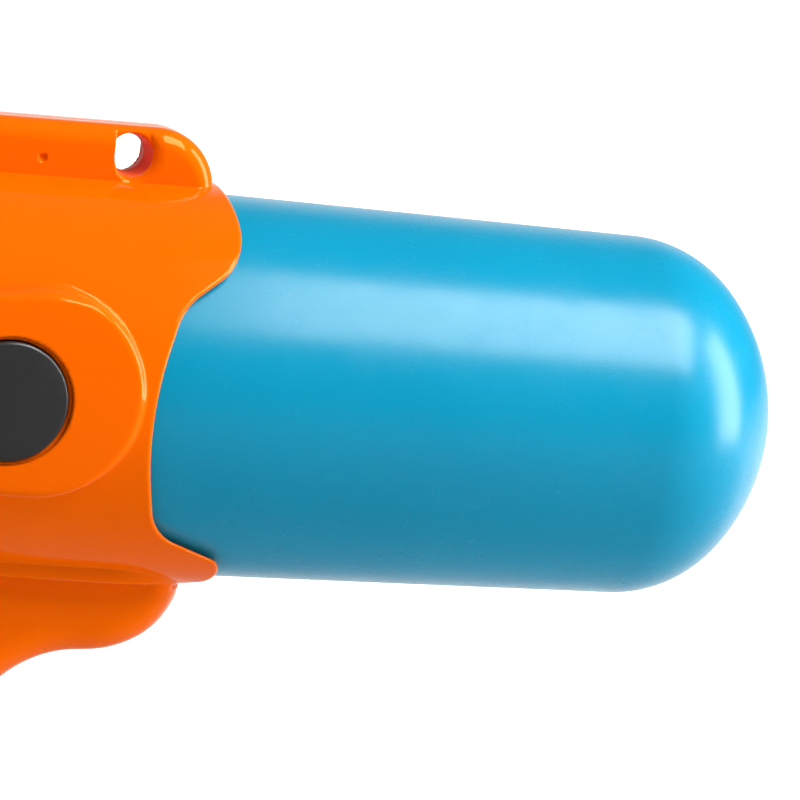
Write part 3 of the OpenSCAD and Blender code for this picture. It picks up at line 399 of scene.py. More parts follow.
def scoop(x, y, z):
    """The scoop round the strap's hole: steep in front, and easing out behind and below."""
    ahead = x - STRAP_X
    along = np.where(ahead < 0, ahead / SCOOP_FRONT, ahead / SCOOP_REAR)
    reach = np.hypot(along, np.minimum(z - STRAP_Z, 0) / SCOOP_DOWN)
    lean = np.where(along < 0, SCOOP_LEAN_FRONT, SCOOP_LEAN_REAR)
    start = SCOOP_FLAT - lean * np.clip(along, -1, 1)
    floor = WEB_HALF + (RAIL_HALF - WEB_HALF) * np.maximum(reach - start, 0) / (1 - start)
    return np.maximum((floor - np.abs(y)) * SCOOP_SLOPE, (reach - SCOOP_END) * SCOOP_SIZE)


def strap_hole(x, y, z):
    """A drafted hole through the rail's web."""
    away = np.abs(y)
    hole = np.hypot(x - STRAP_X, z - STRAP_Z) - STRAP_R + STRAP_DRAFT * (WEB_HALF - away)
    return np.maximum(hole, away - WEB_HALF - 0.3)


def trigger_slot(x, y, z):
    sides = np.maximum(np.abs(y) - SLOT_HALVES[1], np.abs(z - SLOT_Z) - SLOT_HALVES[2])
    return np.maximum(np.abs(x - SLOT_X) - SLOT_HALVES[0], sides)


def screw_holes(form, places, x, y, z, r):
    """A form less its screws' sunk holes, which open on the +Y side."""
    for sx, sz, depth in places:
        form = cut(form, np.maximum(np.hypot(x - sx, z - sz) - SCREW_HOLE_R, depth - y), r)
    return form


def shell(x, y, z, side):
    """One half of the body: side is -1 on the left, 1 on the right."""
    away = np.abs(y)
    form = cut(body(x, y, z), hollow(x, y, z), r=0.3)
    form = cut(form, within(MOUTH, x, z), r=0.95)
    form = cut(form, scoop(x, y, z), r=0.5)
    form = cut(form, strap_hole(x, y, z), r=0.3)
    dimple = np.sqrt((x - DIMPLE[0]) ** 2 + (away - DIMPLE[1]) ** 2 + (z - DIMPLE[2]) ** 2) - DIMPLE_R
    form = cut(form, dimple, r=0.25)
    bore = np.hypot(x - BUTTON_X, z) - BUTTON_R
    form = cut(form, np.maximum(bore - BUTTON_GAP, BORE_START - away), r=0.15)
    form = cut(form, np.maximum(bore - RECESS_GAP, BOSS_Y - RECESS_DEPTH - away), r=0.4)
    form = cut(form, trigger_slot(x, y, z), r=0.6)
    form = cut(form, np.maximum(np.hypot(y, z - PUMP_Z) - GLAND_BORE, x - FRONT_X - 4), r=0.3)
    if side > 0:
        form = screw_holes(form, SHELL_SCREWS, x, y, z, r=0.5)
    return meet(form, SEAM - side * y, SEAM_ROUND)


# Meshes
COARSER = 1.0
SEAM_STEP = (-0.9, 1, 0.18)


def graded(low, high, fine, coarse, grow=0.15):
    """Stations from low to high: the step is small in each fine stretch and widens away from it."""
    stations = [low]
    while stations[-1] < high:
        at = stations[-1]
        stations.append(at + min([coarse] + [s + grow * max(a - at, at - b, 0) for a, b, s in fine]))
    return np.array(stations, np.float32)


def net(form, xs, ys, zs):
    """Vertices and quads of a form's surface on a grid of stations.

    A cell that the surface passes through has one vertex, the mean of the places where its edges cross
    the surface. An edge that crosses it has one quad, between the four cells round it.
    """
    axes = (xs, ys, zs)
    field = form(xs[:, None, None], ys[None, :, None], zs[None, None, :])
    inside = field < 0
    size = np.array(inside.shape) - 1
    count = sum(
        inside[i:i + size[0], j:j + size[1], k:k + size[2]].astype(np.int8)
        for i, j, k in product((0, 1), repeat=3)
    )
    active = (count > 0) & (count < 8)
    index = np.full(active.shape, -1, np.int32)
    cells = np.argwhere(active)
    index[active] = np.arange(len(cells))
    total = np.zeros((len(cells), 3))
    hits = np.zeros(len(cells))
    quads = []
    for axis in range(3):
        others = [a for a in range(3) if a != axis]
        for shift in product((0, 1), repeat=2):
            low = cells.copy()
            low[:, others] += shift
            high = low.copy()
            high[:, axis] += 1
            d0, d1 = field[tuple(low.T)], field[tuple(high.T)]
            crossing = (d0 < 0) != (d1 < 0)
            t = np.where(crossing, d0 / np.where(crossing, d0 - d1, 1), 0)
            place = np.stack([axes[a][low[:, a]] for a in range(3)], 1).astype(float)
            place[:, axis] += t * (axes[axis][high[:, axis]] - axes[axis][low[:, axis]])
            total += place * crossing[:, None]
            hits += crossing
        first = np.moveaxis(inside, axis, 0)
        changes = first[:-1] != first[1:]
        changes[:, 0, :] = changes[:, -1, :] = False
        changes[:, :, 0] = changes[:, :, -1] = False
        edge = np.argwhere(changes)
        outward = first[:-1][changes]
        ring = []
        for da, db in ((-1, -1), (0, -1), (0, 0), (-1, 0)):
            cell = np.zeros((len(edge), 3), int)
            cell[:, axis] = edge[:, 0]
            cell[:, others[0]] = edge[:, 1] + da
            cell[:, others[1]] = edge[:, 2] + db
            ring.append(index[tuple(cell.T)])
        ring = np.stack(ring, 1)
        flip = outward if axis != 1 else ~outward
        quads.append(np.where(flip[:, None], ring, ring[:, ::-1]))
    return total / hits[:, None], np.concatenate(quads)


def slope(form, points):
    """Distance and gradient of a form at points."""
    step = 0.04
    corners = np.array([(1, -1, -1), (-1, -1, 1), (-1, 1, -1), (1, 1, 1)], float)
    values = [form(*(points + step * c).T.astype(np.float32)) for c in corners]
    gradient = sum(c * v[:, None] for c, v in zip(corners, values)) / (4 * step)
    return sum(values) / 4, gradient


def moulded(form, xs, ys, zs):
    """Points, quads and normals of a form, with its points drawn on to the surface."""
    least_slope, longest_move = 0.25, 0.3
    points, quads = net(form, xs, ys, zs)
    for _ in range(2):
        distance, gradient = slope(form, points)
        move = distance / np.maximum((gradient ** 2).sum(1), least_slope)
        points = points - gradient * np.clip(move, -longest_move, longest_move)[:, None]
    normals = slope(form, points)[1]
    return points, quads, normals / np.linalg.norm(normals, axis=1)[:, None]


def lathed(profile, sides, centre, axis=0):
    """Points and faces of a closed outline (place along the axis, radius), turned about X or Y."""
    profile = np.asarray(profile, float)
    angles = np.linspace(0, 2 * pi, sides, endpoint=False)
    along, radius = profile[:, 0][:, None], profile[:, 1][:, None]
    flat = np.broadcast_to(along, (len(profile), sides))
    u, w = radius * np.cos(angles), radius * np.sin(angles)
    parts = (flat, u, w) if axis == 0 else (w, flat, u)
    points = np.stack([(p + c).ravel() for p, c in zip(parts, centre)], 1)
    i, k = np.meshgrid(np.arange(len(profile)), np.arange(sides), indexing="ij")
    n = (i + 1) % len(profile)
    after = (k + 1) % sides
    faces = np.stack([i * sides + k, n * sides + k, n * sides + after, i * sides + after], -1)
    return points, faces.reshape(-1, 4)


def new_piece(name, points, faces, material, body_name, nodes, normals=None):
    """A mesh piece that rides on a body and stands for CAD nodes."""
    mesh = bpy.data.meshes.new(name)
    mesh.from_pydata((np.asarray(points) * MM + ORIGIN).tolist(), [], np.asarray(faces).tolist())
    mesh.polygons.foreach_set("use_smooth", np.ones(len(mesh.polygons), bool))
    if normals is not None:
        mesh.normals_split_custom_set_from_vertices(normals.tolist())
    mesh.materials.append(material)
    piece = bpy.data.objects.new(name, mesh)
    bpy.context.scene.collection.objects.link(piece)
    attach(piece, body_name)
    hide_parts(*nodes)
    return piece


def half_piece(node, form, side, stations, material, body_name):
    """One half of a split moulding, and its faces' centres. The stations are those of the +Y half."""
    xs, ys, zs = stations
    half_ys = ys if side > 0 else -ys[::-1]
    points, quads, normals = moulded(lambda x, y, z: form(x, y, z, side), xs, half_ys, zs)
    piece = new_piece(node + "_skin", points, quads, material, body_name, [node], normals)
    return piece, points[quads].mean(1)


# Materials
PATCH_SCALE = 18.0
GLOSS_SCALE = 108.0
GRAIN_SCALE = 2500.0
GRAIN_DEPTH = 0.0002
PLATING_SCALE = 900.0
PLASTIC_IOR = 1.5


def new_material(name):
    material = bpy.data.materials.new(name)
    material.use_nodes = True
    nodes, links = material.node_tree.nodes, material.node_tree.links
    return material, nodes, links, nodes["Principled BSDF"]


def noise(nodes, links, scale, detail=3.0):
    """A noise texture on the object's own coordinates, in metres."""
    place = nodes.new("ShaderNodeTexCoord")
    texture = nodes.new("ShaderNodeTexNoise")
    texture.inputs["Scale"].default_value = scale
    texture.inputs["Detail"].default_value = detail
    links.new(place.outputs["Object"], texture.inputs["Vector"])
    return texture.outputs["Fac"]


def ranged(nodes, links, value, low, high, start=0.3, end=0.7):
    """A value that goes from start to end, made to go from low to high."""
    scale = nodes.new("ShaderNodeMapRange")
    for name, number in (("From Min", start), ("From Max", end), ("To Min", low), ("To Max", high)):
        scale.inputs[name].default_value = number
    links.new(value, scale.inputs["Value"])
    return scale.outputs["Result"]


def plastic(name, dark, light, rough, shine=0.5, tint=(1, 1, 1), grain=0.0):
    """Moulded plastic: a colour that drifts, a tinted gloss that varies, and any fine grain."""
    material, nodes, links, shader = new_material(name)
    mix = nodes.new("ShaderNodeMix")
    mix.data_type = "RGBA"
    mix.inputs["A"].default_value = (*dark, 1)
    mix.inputs["B"].default_value = (*light, 1)
    links.new(ranged(nodes, links, noise(nodes, links, PATCH_SCALE), 0, 1), mix.inputs["Factor"])
    links.new(mix.outputs["Result"], shader.inputs["Base Color"])
    gloss = ranged(nodes, links, noise(nodes, links, GLOSS_SCALE), *rough)
    links.new(gloss, shader.inputs["Roughness"])
    shader.inputs["IOR"].default_value = PLASTIC_IOR
    shader.inputs["Specular IOR Level"].default_value = shine
    shader.inputs["Specular Tint"].default_value = (*tint, 1)
    if grain:
        bump = nodes.new("ShaderNodeBump")
        bump.inputs["Strength"].default_value = grain
        bump.inputs["Distance"].default_value = GRAIN_DEPTH
        links.new(noise(nodes, links, GRAIN_SCALE, 2.0), bump.inputs["Height"])
        links.new(bump.outputs["Normal"], shader.inputs["Normal"])
    return material


def metal(name, colour, rough):
    material, nodes, links, shader = new_material(name)
    shader.inputs["Base Color"].default_value = (*colour, 1)
    shader.inputs["Metallic"].default_value = 1.0
    gloss = ranged(nodes, links, noise(nodes, links, PLATING_SCALE), *rough)
    links.new(gloss, shader.inputs["Roughness"])
    return material


ORANGE = plastic(
    "orange_gloss", dark=(0.88, 0.122, 0.0), light=(0.91, 0.134, 0.0), rough=(0.06, 0.09),
    shine=0.3, tint=(1, 0.88, 0.25))
# Rougher orange for the strap hole's walls, with painted shade: its colour is slightly darker and redder than the
# gloss
MATT_ORANGE_PAINTED_SHADE = plastic(
    "orange_matt_painted_shade", dark=(0.86, 0.1, 0.0), light=(0.88, 0.11, 0.0), rough=(0.5, 0.6),
    shine=0.2, tint=(1, 0.7, 0.3))
BLUE = plastic(
    "blue_satin", dark=(0.0, 0.258, 0.43), light=(0.0, 0.278, 0.46), rough=(0.23, 0.29),
    tint=(0.62, 0.7, 0.68), grain=0.1)
GREY = plastic(
    "grey_satin", dark=(0.023, 0.023, 0.024), light=(0.029, 0.029, 0.03), rough=(0.3, 0.4),
    shine=0.6, grain=0.1)
WHITE = plastic("natural_white", dark=(0.72, 0.72, 0.69), light=(0.8, 0.8, 0.77), rough=(0.28, 0.38))
HOSE = plastic("milky_hose", dark=(0.6, 0.64, 0.66), light=(0.68, 0.72, 0.73), rough=(0.3, 0.4))
RUBBER = plastic(
    "black_rubber", dark=(0.012, 0.012, 0.012), light=(0.02, 0.02, 0.02), rough=(0.55, 0.7), grain=0.2)
STEEL = metal("plated_steel", colour=(0.62, 0.61, 0.59), rough=(0.2, 0.34))

MATERIALS = {
    "shell": ORANGE, "tank": BLUE, "nozzle": BLUE, "grey": GREY, "white": WHITE, "hose": HOSE,
    "seal": RUBBER, "steel": STEEL,
}
for part in frame["record"]["subparts"]:
    cad_mesh = frame["nodes"][part["node"]].data
    cad_mesh.materials.clear()
    cad_mesh.materials.append(MATERIALS[part["material_slot"]])


# Shell halves, meshed finely at the rear and finest at the dimple. In the strap's hole the faces are matt and
# carry painted shade: a slightly darker, redder orange
shell_stations = (
    graded(SHELL_LO[0] - 2, 3.0, [
        (-38, 1, 0.5 * COARSER), (-53, -50.6, 0.3 * COARSER), (-85, -38, 0.7 * COARSER),
    ], 1.25 * COARSER),
    graded(-0.9, BOSS_Y + 1.5, [
        SEAM_STEP, (5, 8, 0.4 * COARSER), (42, 50, 0.5 * COARSER), (9, 24, 0.7 * COARSER),
    ], 1.0 * COARSER),
    graded(GRIP_Z - 2, RAIL_Z + 2, [
        (44, RAIL_Z + 2, 0.45 * COARSER), (47.6, 50, 0.3 * COARSER), (-64, 44, 0.62 * COARSER),
    ], 1.25 * COARSER),
)
for shell_name, half in (("left_shell", -1), ("right_shell", 1)):
    skin, centres = half_piece(shell_name, shell, half, shell_stations, ORANGE, "body")
    # Faces inside the strap's hole, which get the matt orange with painted shade
    shade_painted_tunnel = np.hypot(centres[:, 0] - STRAP_X, centres[:, 2] - STRAP_Z) < STRAP_R + 0.1
    shade_painted_tunnel &= np.abs(centres[:, 1]) < WEB_HALF
    skin.data.materials.append(MATT_ORANGE_PAINTED_SHADE)
    skin.data.polygons.foreach_set("material_index", shade_painted_tunnel.astype(np.int32))


# Tank
TANK_R = 42.6
TANK_WALL = 2.4
TANK_SIDES = 176
NECK_R = 18.5
NECK_X = -55.0
NECK_WALL = 4.0
NECK_EDGE = 0.6
SHOULDER_X = -41.0
SHOULDER_R = 8.0
DRAFT_X = -5.0
DRAFT = radians(1.25)
BLEND_R = 29.8
DOME_R = 45.7
TIP_RING = 0.0015
TIP_CENTRE = 0.0002


def bow(centre, radius, start, end, steps):
    """Points of an arc from one angle to another."""
    angles = np.linspace(start, end, steps + 1)
    return np.stack([centre[0] + radius * np.cos(angles), centre[1] + radius * np.sin(angles)], 1)


def tank_side(d):
    """The tank's side from its shoulder to its tip, d outside its surface."""
    dome_x = TANK_TIP - DOME_R
    lean = tan(DRAFT)
    foot = TANK_R + DRAFT_X * lean - BLEND_R / cos(DRAFT)
    a = 1 + lean * lean
    b = dome_x + foot * lean
    c = dome_x ** 2 + foot ** 2 - (DOME_R - BLEND_R) ** 2
    blend_x = (b + np.sqrt(b * b - a * c)) / a
    blend_r = foot - lean * blend_x
    join_at = np.arctan2(blend_r, blend_x - dome_x)
    places = np.linspace(DRAFT_X, blend_x, 24)
    shoulder_centre = (SHOULDER_X + SHOULDER_R, TANK_R - SHOULDER_R)
    shoulder = bow(shoulder_centre, SHOULDER_R + d, pi, pi / 2, 14)
    straight = np.stack([places, TANK_R + d - lean * (places - DRAFT_X)], 1)
    blend = bow((blend_x, blend_r), BLEND_R + d, pi / 2 - DRAFT, join_at, 30)
    dome = bow((dome_x, 0), DOME_R + d, join_at, TIP_RING, 26)
    tip = bow((dome_x, 0), DOME_R + d, TIP_RING, TIP_CENTRE, 1)
    return np.concatenate([shoulder, straight[:-1], blend, dome[1:], tip[1:]])


neck = [
    (NECK_X, NECK_R - NECK_WALL + NECK_EDGE), (NECK_X + NECK_EDGE, NECK_R),
    (SHOULDER_X - NECK_EDGE, NECK_R),
]
inside_neck = [(SHOULDER_X + TANK_WALL, NECK_R - NECK_WALL), (NECK_X, NECK_R - NECK_WALL)]
tank_profile = np.concatenate([neck, tank_side(0), tank_side(-TANK_WALL)[::-1], inside_neck])
tank_points, tank_faces = lathed(tank_profile, TANK_SIDES, (0, 0, 0))
new_piece("tank_skin", tank_points, tank_faces, BLUE, "tank", ["tank"])


# Button and cap, each closed at its centre by a ring too small to see
CENTRE_R = 0.01
CENTRE_RING = 0.06
DISC_DEPTH = 3.5
DISC_EDGE = 0.8
DISC_CROWN = 0.3
DISC_SIDES = 128


def button(name, side, body_name, node):
    """A disc with a slightly domed face, a round edge and a flat back."""
    rows = outline([
        (0, CENTRE_R), (0, CENTRE_RING), (DISC_CROWN * 0.15, BUTTON_R * 0.4),
        (DISC_CROWN * 0.5, BUTTON_R * 0.7), (DISC_CROWN, BUTTON_R, DISC_EDGE),
        (DISC_DEPTH, BUTTON_R), (DISC_DEPTH, CENTRE_R),
    ], 8, closed=False)
    rows[:, 0] = -side * (BUTTON_LO[1] + rows[:, 0])
    points, faces = lathed(rows, DISC_SIDES, (BUTTON_X, 0, 0), axis=1)
    faces = faces if side < 0 else faces[:, ::-1]
    return new_piece(name, points, faces, GREY, body_name, [node])


button("release_button_skin", -1, "button", "release_button")
button("right_cap_skin", 1, "body", "right_cap")


# Trigger, with its outlines about the pivot
ARM_HALF = 3.0
BLADE_HALF = 4.5
HUB_R = 5.4
PIN_BORE = 2.05
TIP = GUARD_Z + 12 - PIVOT[2]
ARM = rounded([(4, -4), (3, 54, 2), (-6, 54, 2), (-6, -4)])
BLADE = rounded([
    (4, 3, 3), (-7, 3, 3), (-9, -10, 8), (-5, 0.6 * TIP, 18), (-9.5, TIP + 1.5, 2.4), (-4, TIP, 2.4),
    (0, 0.6 * TIP, 24), (4, -8, 8),
])


def trigger(x, y, z):
    px, pz = x - PIVOT[0], z - PIVOT[2]
    form = meet(within(ARM, px, pz), np.abs(y) - ARM_HALF, r=0.5)
    form = join(form, meet(within(BLADE, px, pz), np.abs(y) - BLADE_HALF, r=1.6), r=1)
    form = join(form, meet(np.hypot(px, pz) - HUB_R, np.abs(y) - BLADE_HALF, r=0.4), r=0.5)
    return np.maximum(form, PIN_BORE - np.hypot(px, pz))


trigger_lo, trigger_hi = PIVOT[2] + TIP - 2, PIVOT[2] + 56
trigger_points, trigger_quads, trigger_normals = moulded(
    trigger,
    graded(PIVOT[0] - 12, PIVOT[0] + 8, [], 0.55 * COARSER),
    graded(-5.5, 5.5, [], 0.45 * COARSER),
    graded(trigger_lo, trigger_hi, [(trigger_lo, PIVOT[2] + 6, 0.55 * COARSER)], 1.2 * COARSER),
)
new_piece(
    "trigger_skin", trigger_points, trigger_quads, GREY, "trigger", ["trigger"], trigger_normals)


# Pump handle
HANDLE_MID = (HANDLE_LO[0] + HANDLE_HI[0]) / 2
HANDLE_HALF = (HANDLE_HI[0] - HANDLE_LO[0]) / 2
HANDLE_R = 19.0
HANDLE_ROUND = 5.0
HANDLE_ROOM = (8.4, 14.4)
HANDLE_WEB = 4.5
HANDLE_BORE = 6.75
GROOVES = 6
GROOVE_DEPTH = 1.6
GROOVE_MARGIN = 4.0
GROOVE_SLOPE = 0.94
GUIDE_HALF = 11.0
GUIDE_RISE = 2.4
GUIDE_MARGIN = 6.0
GUIDE_GAP = 0.6
HANDLE_SCREWS = [(px, PUMP_Z - 11.7, 5.0) for px in (HANDLE_LO[0] + 20, HANDLE_HI[0] - 20)]


def handle(x, y, z, side):
    """One half of the grooved handle, with a guide on top that slides along the barrel."""
    off = z - PUMP_Z
    radius = np.hypot(y, off)
    along = np.abs(x - HANDLE_MID)
    turn = (x - HANDLE_LO[0] - GROOVE_MARGIN) / (2 * HANDLE_HALF - 2 * GROOVE_MARGIN)
    groove = GROOVE_DEPTH / 2 * (1 - np.cos(2 * pi * GROOVES * np.clip(turn, 0, 1)))
    form = meet((radius - HANDLE_R + groove) * GROOVE_SLOPE, along - HANDLE_HALF, HANDLE_ROUND)
    guide = np.maximum(along - HANDLE_HALF + GUIDE_MARGIN, np.maximum(-off, off - HANDLE_R - GUIDE_RISE))
    form = join(form, meet(guide, np.abs(y) - GUIDE_HALF, r=2), r=2.5)
    form = cut(form, np.hypot(y, z - BARREL_Z) - BARREL_R - GUIDE_GAP, r=0.6)
    room = np.abs(along - HANDLE_HALF / 2) - HANDLE_HALF / 2 + HANDLE_WEB
    room = np.maximum(room, np.maximum(HANDLE_ROOM[0] - radius, radius - HANDLE_ROOM[1]))
    form = cut(form, room, r=0.3)
    form = cut(form, radius - HANDLE_BORE, r=0.3)
    if side > 0:
        form = screw_holes(form, HANDLE_SCREWS, x, y, z, r=0.4)
    return meet(form, SEAM - side * y, SEAM_ROUND)


handle_stations = (
    graded(HANDLE_LO[0] - 1.5, HANDLE_HI[0] + 1.5, [], min(0.8 * COARSER, 1.0)),
    graded(-0.9, HANDLE_R + 1.5, [SEAM_STEP], 0.8 * COARSER),
    graded(PUMP_Z - HANDLE_R - 1.5, PUMP_Z + HANDLE_R + 4, [], 0.7 * COARSER),
)
for handle_name, half in (("handle_left", -1), ("handle_right", 1)):
    half_piece(handle_name, handle, half, handle_stations, GREY, "pump")


# Turned pieces along X
CAP_R = BARREL_R + 2.6
CAP_BORE = BARREL_R + 0.05
CAP_WALL = 2.4
CAP_GROOVE = 0.8
NOZZLE_NECK = 7.0
NOZZLE_BORE = 1.6
NOZZLE_TAIL_R = 2.9
ROD_R = 6.7
COLLAR_R = 9.5
ROD_STEM_R = 3.7
GLAND_HOLE = 6.8
GLAND_R = 9.6
GLAND_RIM = 12.0
GLAND_TAIL_R = 10.25


def turned(name, corners, z, sides, material, body_name, node):
    points, faces = lathed(outline(corners, 6)[::-1], sides, (0, 0, z))
    return new_piece(name, points, faces, material, body_name, [node])


turned("muzzle_cap_skin", [
    (CAP_HI[0], CAP_BORE), (CAP_HI[0], CAP_R, 0.8), (CAP_LO[0] + 9, CAP_R, 0.4),
    (CAP_LO[0] + 8.4, CAP_R - CAP_GROOVE, 0.3), (CAP_LO[0] + 7, CAP_R - CAP_GROOVE, 0.3),
    (CAP_LO[0] + 6.4, CAP_R, 0.4), (CAP_LO[0], CAP_R, 3.5), (CAP_LO[0], NOZZLE_NECK + 0.05, 0.3),
    (CAP_LO[0] + CAP_WALL, NOZZLE_NECK + 0.05), (CAP_LO[0] + CAP_WALL, CAP_BORE),
], BARREL_Z, 128, GREY, "body", "muzzle_cap")
turned("nozzle_skin", [
    (NOZZLE_LO[0] + 1.4, 1.0), (NOZZLE_LO[0], 2.0, 0.2), (NOZZLE_LO[0], 4.2, 0.8),
    (CAP_LO[0] - 3, 6.2, 1.0), (CAP_LO[0] - 3, 8.6, 0.6), (CAP_LO[0] - 0.05, 8.6, 0.4),
    (CAP_LO[0] - 0.05, NOZZLE_NECK), (CAP_LO[0] + CAP_WALL + 0.05, NOZZLE_NECK),
    (CAP_LO[0] + CAP_WALL + 0.05, 9.4), (CAP_LO[0] + 6.35, 9.4), (CAP_LO[0] + 6.35, NOZZLE_TAIL_R),
    (NOZZLE_HI[0], NOZZLE_TAIL_R), (NOZZLE_HI[0], NOZZLE_BORE), (NOZZLE_LO[0] + 4, NOZZLE_BORE),
], BARREL_Z, 96, BLUE, "body", "nozzle")
turned("pump_rod_skin", [
    (ROD_LO[0], CENTRE_R), (ROD_LO[0], CENTRE_RING), (ROD_LO[0], ROD_R, 0.6), (HANDLE_MID - 2, ROD_R),
    (HANDLE_MID - 2, COLLAR_R), (HANDLE_MID + 2, COLLAR_R), (HANDLE_MID + 2, ROD_R),
    (ROD_HI[0] - 4, ROD_R, 0.4), (ROD_HI[0] - 4, ROD_STEM_R), (ROD_HI[0], ROD_STEM_R, 0.4),
    (ROD_HI[0], CENTRE_R),
], PUMP_Z, 96, WHITE, "pump", "pump_rod")
turned("pump_gland_skin", [
    (GLAND_HI[0], GLAND_HOLE), (GLAND_HI[0], GLAND_TAIL_R), (GLAND_LO[0] + 7.05, GLAND_TAIL_R),
    (GLAND_LO[0] + 7.05, GLAND_RIM), (GLAND_LO[0] + 5.05, GLAND_RIM), (GLAND_LO[0] + 5.05, GLAND_R),
    (GLAND_LO[0], GLAND_R, 0.8), (GLAND_LO[0], GLAND_HOLE, 0.5),
], PUMP_Z, 96, GREY, "body", "pump_gland")


# Screws
HEAD_R = 2.9
HEAD_HEIGHT = 2.0
CROSS_LENGTH = 1.7
CROSS_HALF = 0.32
CROSS_FLOOR = 0.9
SHANK_R = 1.3
SHANK_LENGTH = 4.0
HEAD_STEP = 0.16 * COARSER


def screw_head(x, y, z):
    """A pan head with a cross recess, its underside at y 0."""
    form = meet(np.hypot(x, z) - HEAD_R, np.maximum(y - HEAD_HEIGHT, -y), r=0.9)
    along_x = np.maximum(np.abs(x) - CROSS_LENGTH, np.abs(z) - CROSS_HALF)
    along_z = np.maximum(np.abs(z) - CROSS_LENGTH, np.abs(x) - CROSS_HALF)
    form = cut(form, np.maximum(np.minimum(along_x, along_z), CROSS_FLOOR - y), r=0.12)
    shank = np.maximum(np.hypot(x, z) - SHANK_R, np.maximum(y - 0.5, -SHANK_LENGTH - y))
    return np.minimum(form, shank)


head_points, head_quads, head_normals = moulded(
    screw_head,
    graded(-3.5, 3.5, [], HEAD_STEP),
    graded(-4.5, 2.5, [(0, 3, HEAD_STEP)], 0.4),
    graded(-3.5, 3.5, [], HEAD_STEP),
)


def screws(name, places, body_name, node):
    """A screw in each sunk hole, just clear of its floor."""
    points = np.concatenate([head_points + (px, py + 0.05, pz) for px, pz, py in places])
    faces = np.concatenate([head_quads + len(head_points) * i for i in range(len(places))])
    normals = np.tile(head_normals, (len(places), 1))
    return new_piece(name, points, faces, STEEL, body_name, [node], normals)


screws("shell_screws_skin", SHELL_SCREWS, "body", "shell_screws")
screws("handle_screws_skin", HANDLE_SCREWS, "pump", "handle_screws")


# Springs: copies of the CAD nodes that the joints deform
def coil(node):
    """A copy of a CAD spring, riding on the body in place of the CAD node."""
    source = frame["nodes"][node]
    piece = bpy.data.objects.new(node + "_coil", source.data.copy())
    piece.matrix_world = source.matrix_world
    bpy.context.scene.collection.objects.link(piece)
    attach(piece, "body")
    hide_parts(node)
    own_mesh(piece)


for joint in frame["joints"]:
    for row in joint.get("deforming_nodes", []):
        coil(row["node"])


# Camera
AZIMUTH = radians(14.0)
ELEVATION = radians(8.2)
DISTANCE = 1600.0
PHOTO = 800
MM_PER_PIXEL = 0.2237
MOUTH_PIXEL = (240.0, 386.85)
AXIS_SLOPE = 0.0712


def photo_camera():
    """A long lens on the muzzle's side, a little above, rolled so that the tank falls to the right."""
    into = Vector((cos(ELEVATION) * sin(AZIMUTH), cos(ELEVATION) * cos(AZIMUTH), -sin(ELEVATION)))
    right = Vector((cos(AZIMUTH), -sin(AZIMUTH), 0))
    up = right.cross(into)
    roll = atan(AXIS_SLOPE) - atan(-up.x / right.x)
    right, up = right * cos(roll) + up * sin(roll), up * cos(roll) - right * sin(roll)
    eye = -into * DISTANCE
    offset = [(PHOTO / 2 - p) * MM_PER_PIXEL for p in MOUTH_PIXEL]
    aim = (into * DISTANCE + right * offset[0] - up * offset[1]).normalized()
    right = (right - aim * right.dot(aim)).normalized()
    up = right.cross(aim)
    data = bpy.data.cameras.new("photo_camera")
    data.sensor_width = 36.0
    data.lens = data.sensor_width * DISTANCE / (PHOTO * MM_PER_PIXEL)
    data.clip_start, data.clip_end = 0.05, 60.0
    camera = bpy.data.objects.new("photo_camera", data)
    facing = Matrix((right, up, -aim)).transposed().to_4x4()
    camera.matrix_world = Matrix.Translation(eye * MM + Vector(ORIGIN)) @ facing
    bpy.context.scene.collection.objects.link(camera)
    bpy.context.scene.camera = camera


photo_camera()


# Floor and light, in metres
FLOOR_HALF = 25.0
FLOOR_PALE = 0.66
FLOOR_DIM = 0.06
FLOOR_DIM_Y = (-0.1, 0.2)
FLOOR_ROUGH = 0.8
FLOOR_LIFT = 0.32
FLOOR_GLOW = 0.62
GLOW_BEHIND = (0.1, 0.6)
GLOW_FAR = (2.0, 4.0)
ROOM_LIGHT = (0.12, 1.0)
ROOM_BEHIND = (0.75, 0.97)
FILL_LIGHT = 0.23


def reckon(nodes, links, operation, first, second):
    """The result of a sum, product or comparison of two values."""
    node = nodes.new("ShaderNodeMath")
    node.operation = operation
    links.new(first, node.inputs[0])
    links.new(second, node.inputs[1])
    return node.outputs["Value"]


def when_seen(nodes, links, unseen, seen):
    """One level for the rays that light the object, another for those that show the background."""
    path = nodes.new("ShaderNodeLightPath")
    total = path.outputs["Is Camera Ray"]
    for ray in ("Is Glossy Ray", "Is Transmission Ray"):
        total = reckon(nodes, links, "MAXIMUM", total, path.outputs[ray])
    level = nodes.new("ShaderNodeMapRange")
    level.inputs["To Min"].default_value = unseen
    links.new(seen, level.inputs["To Max"])
    links.new(total, level.inputs["Value"])
    return level.outputs["Result"]


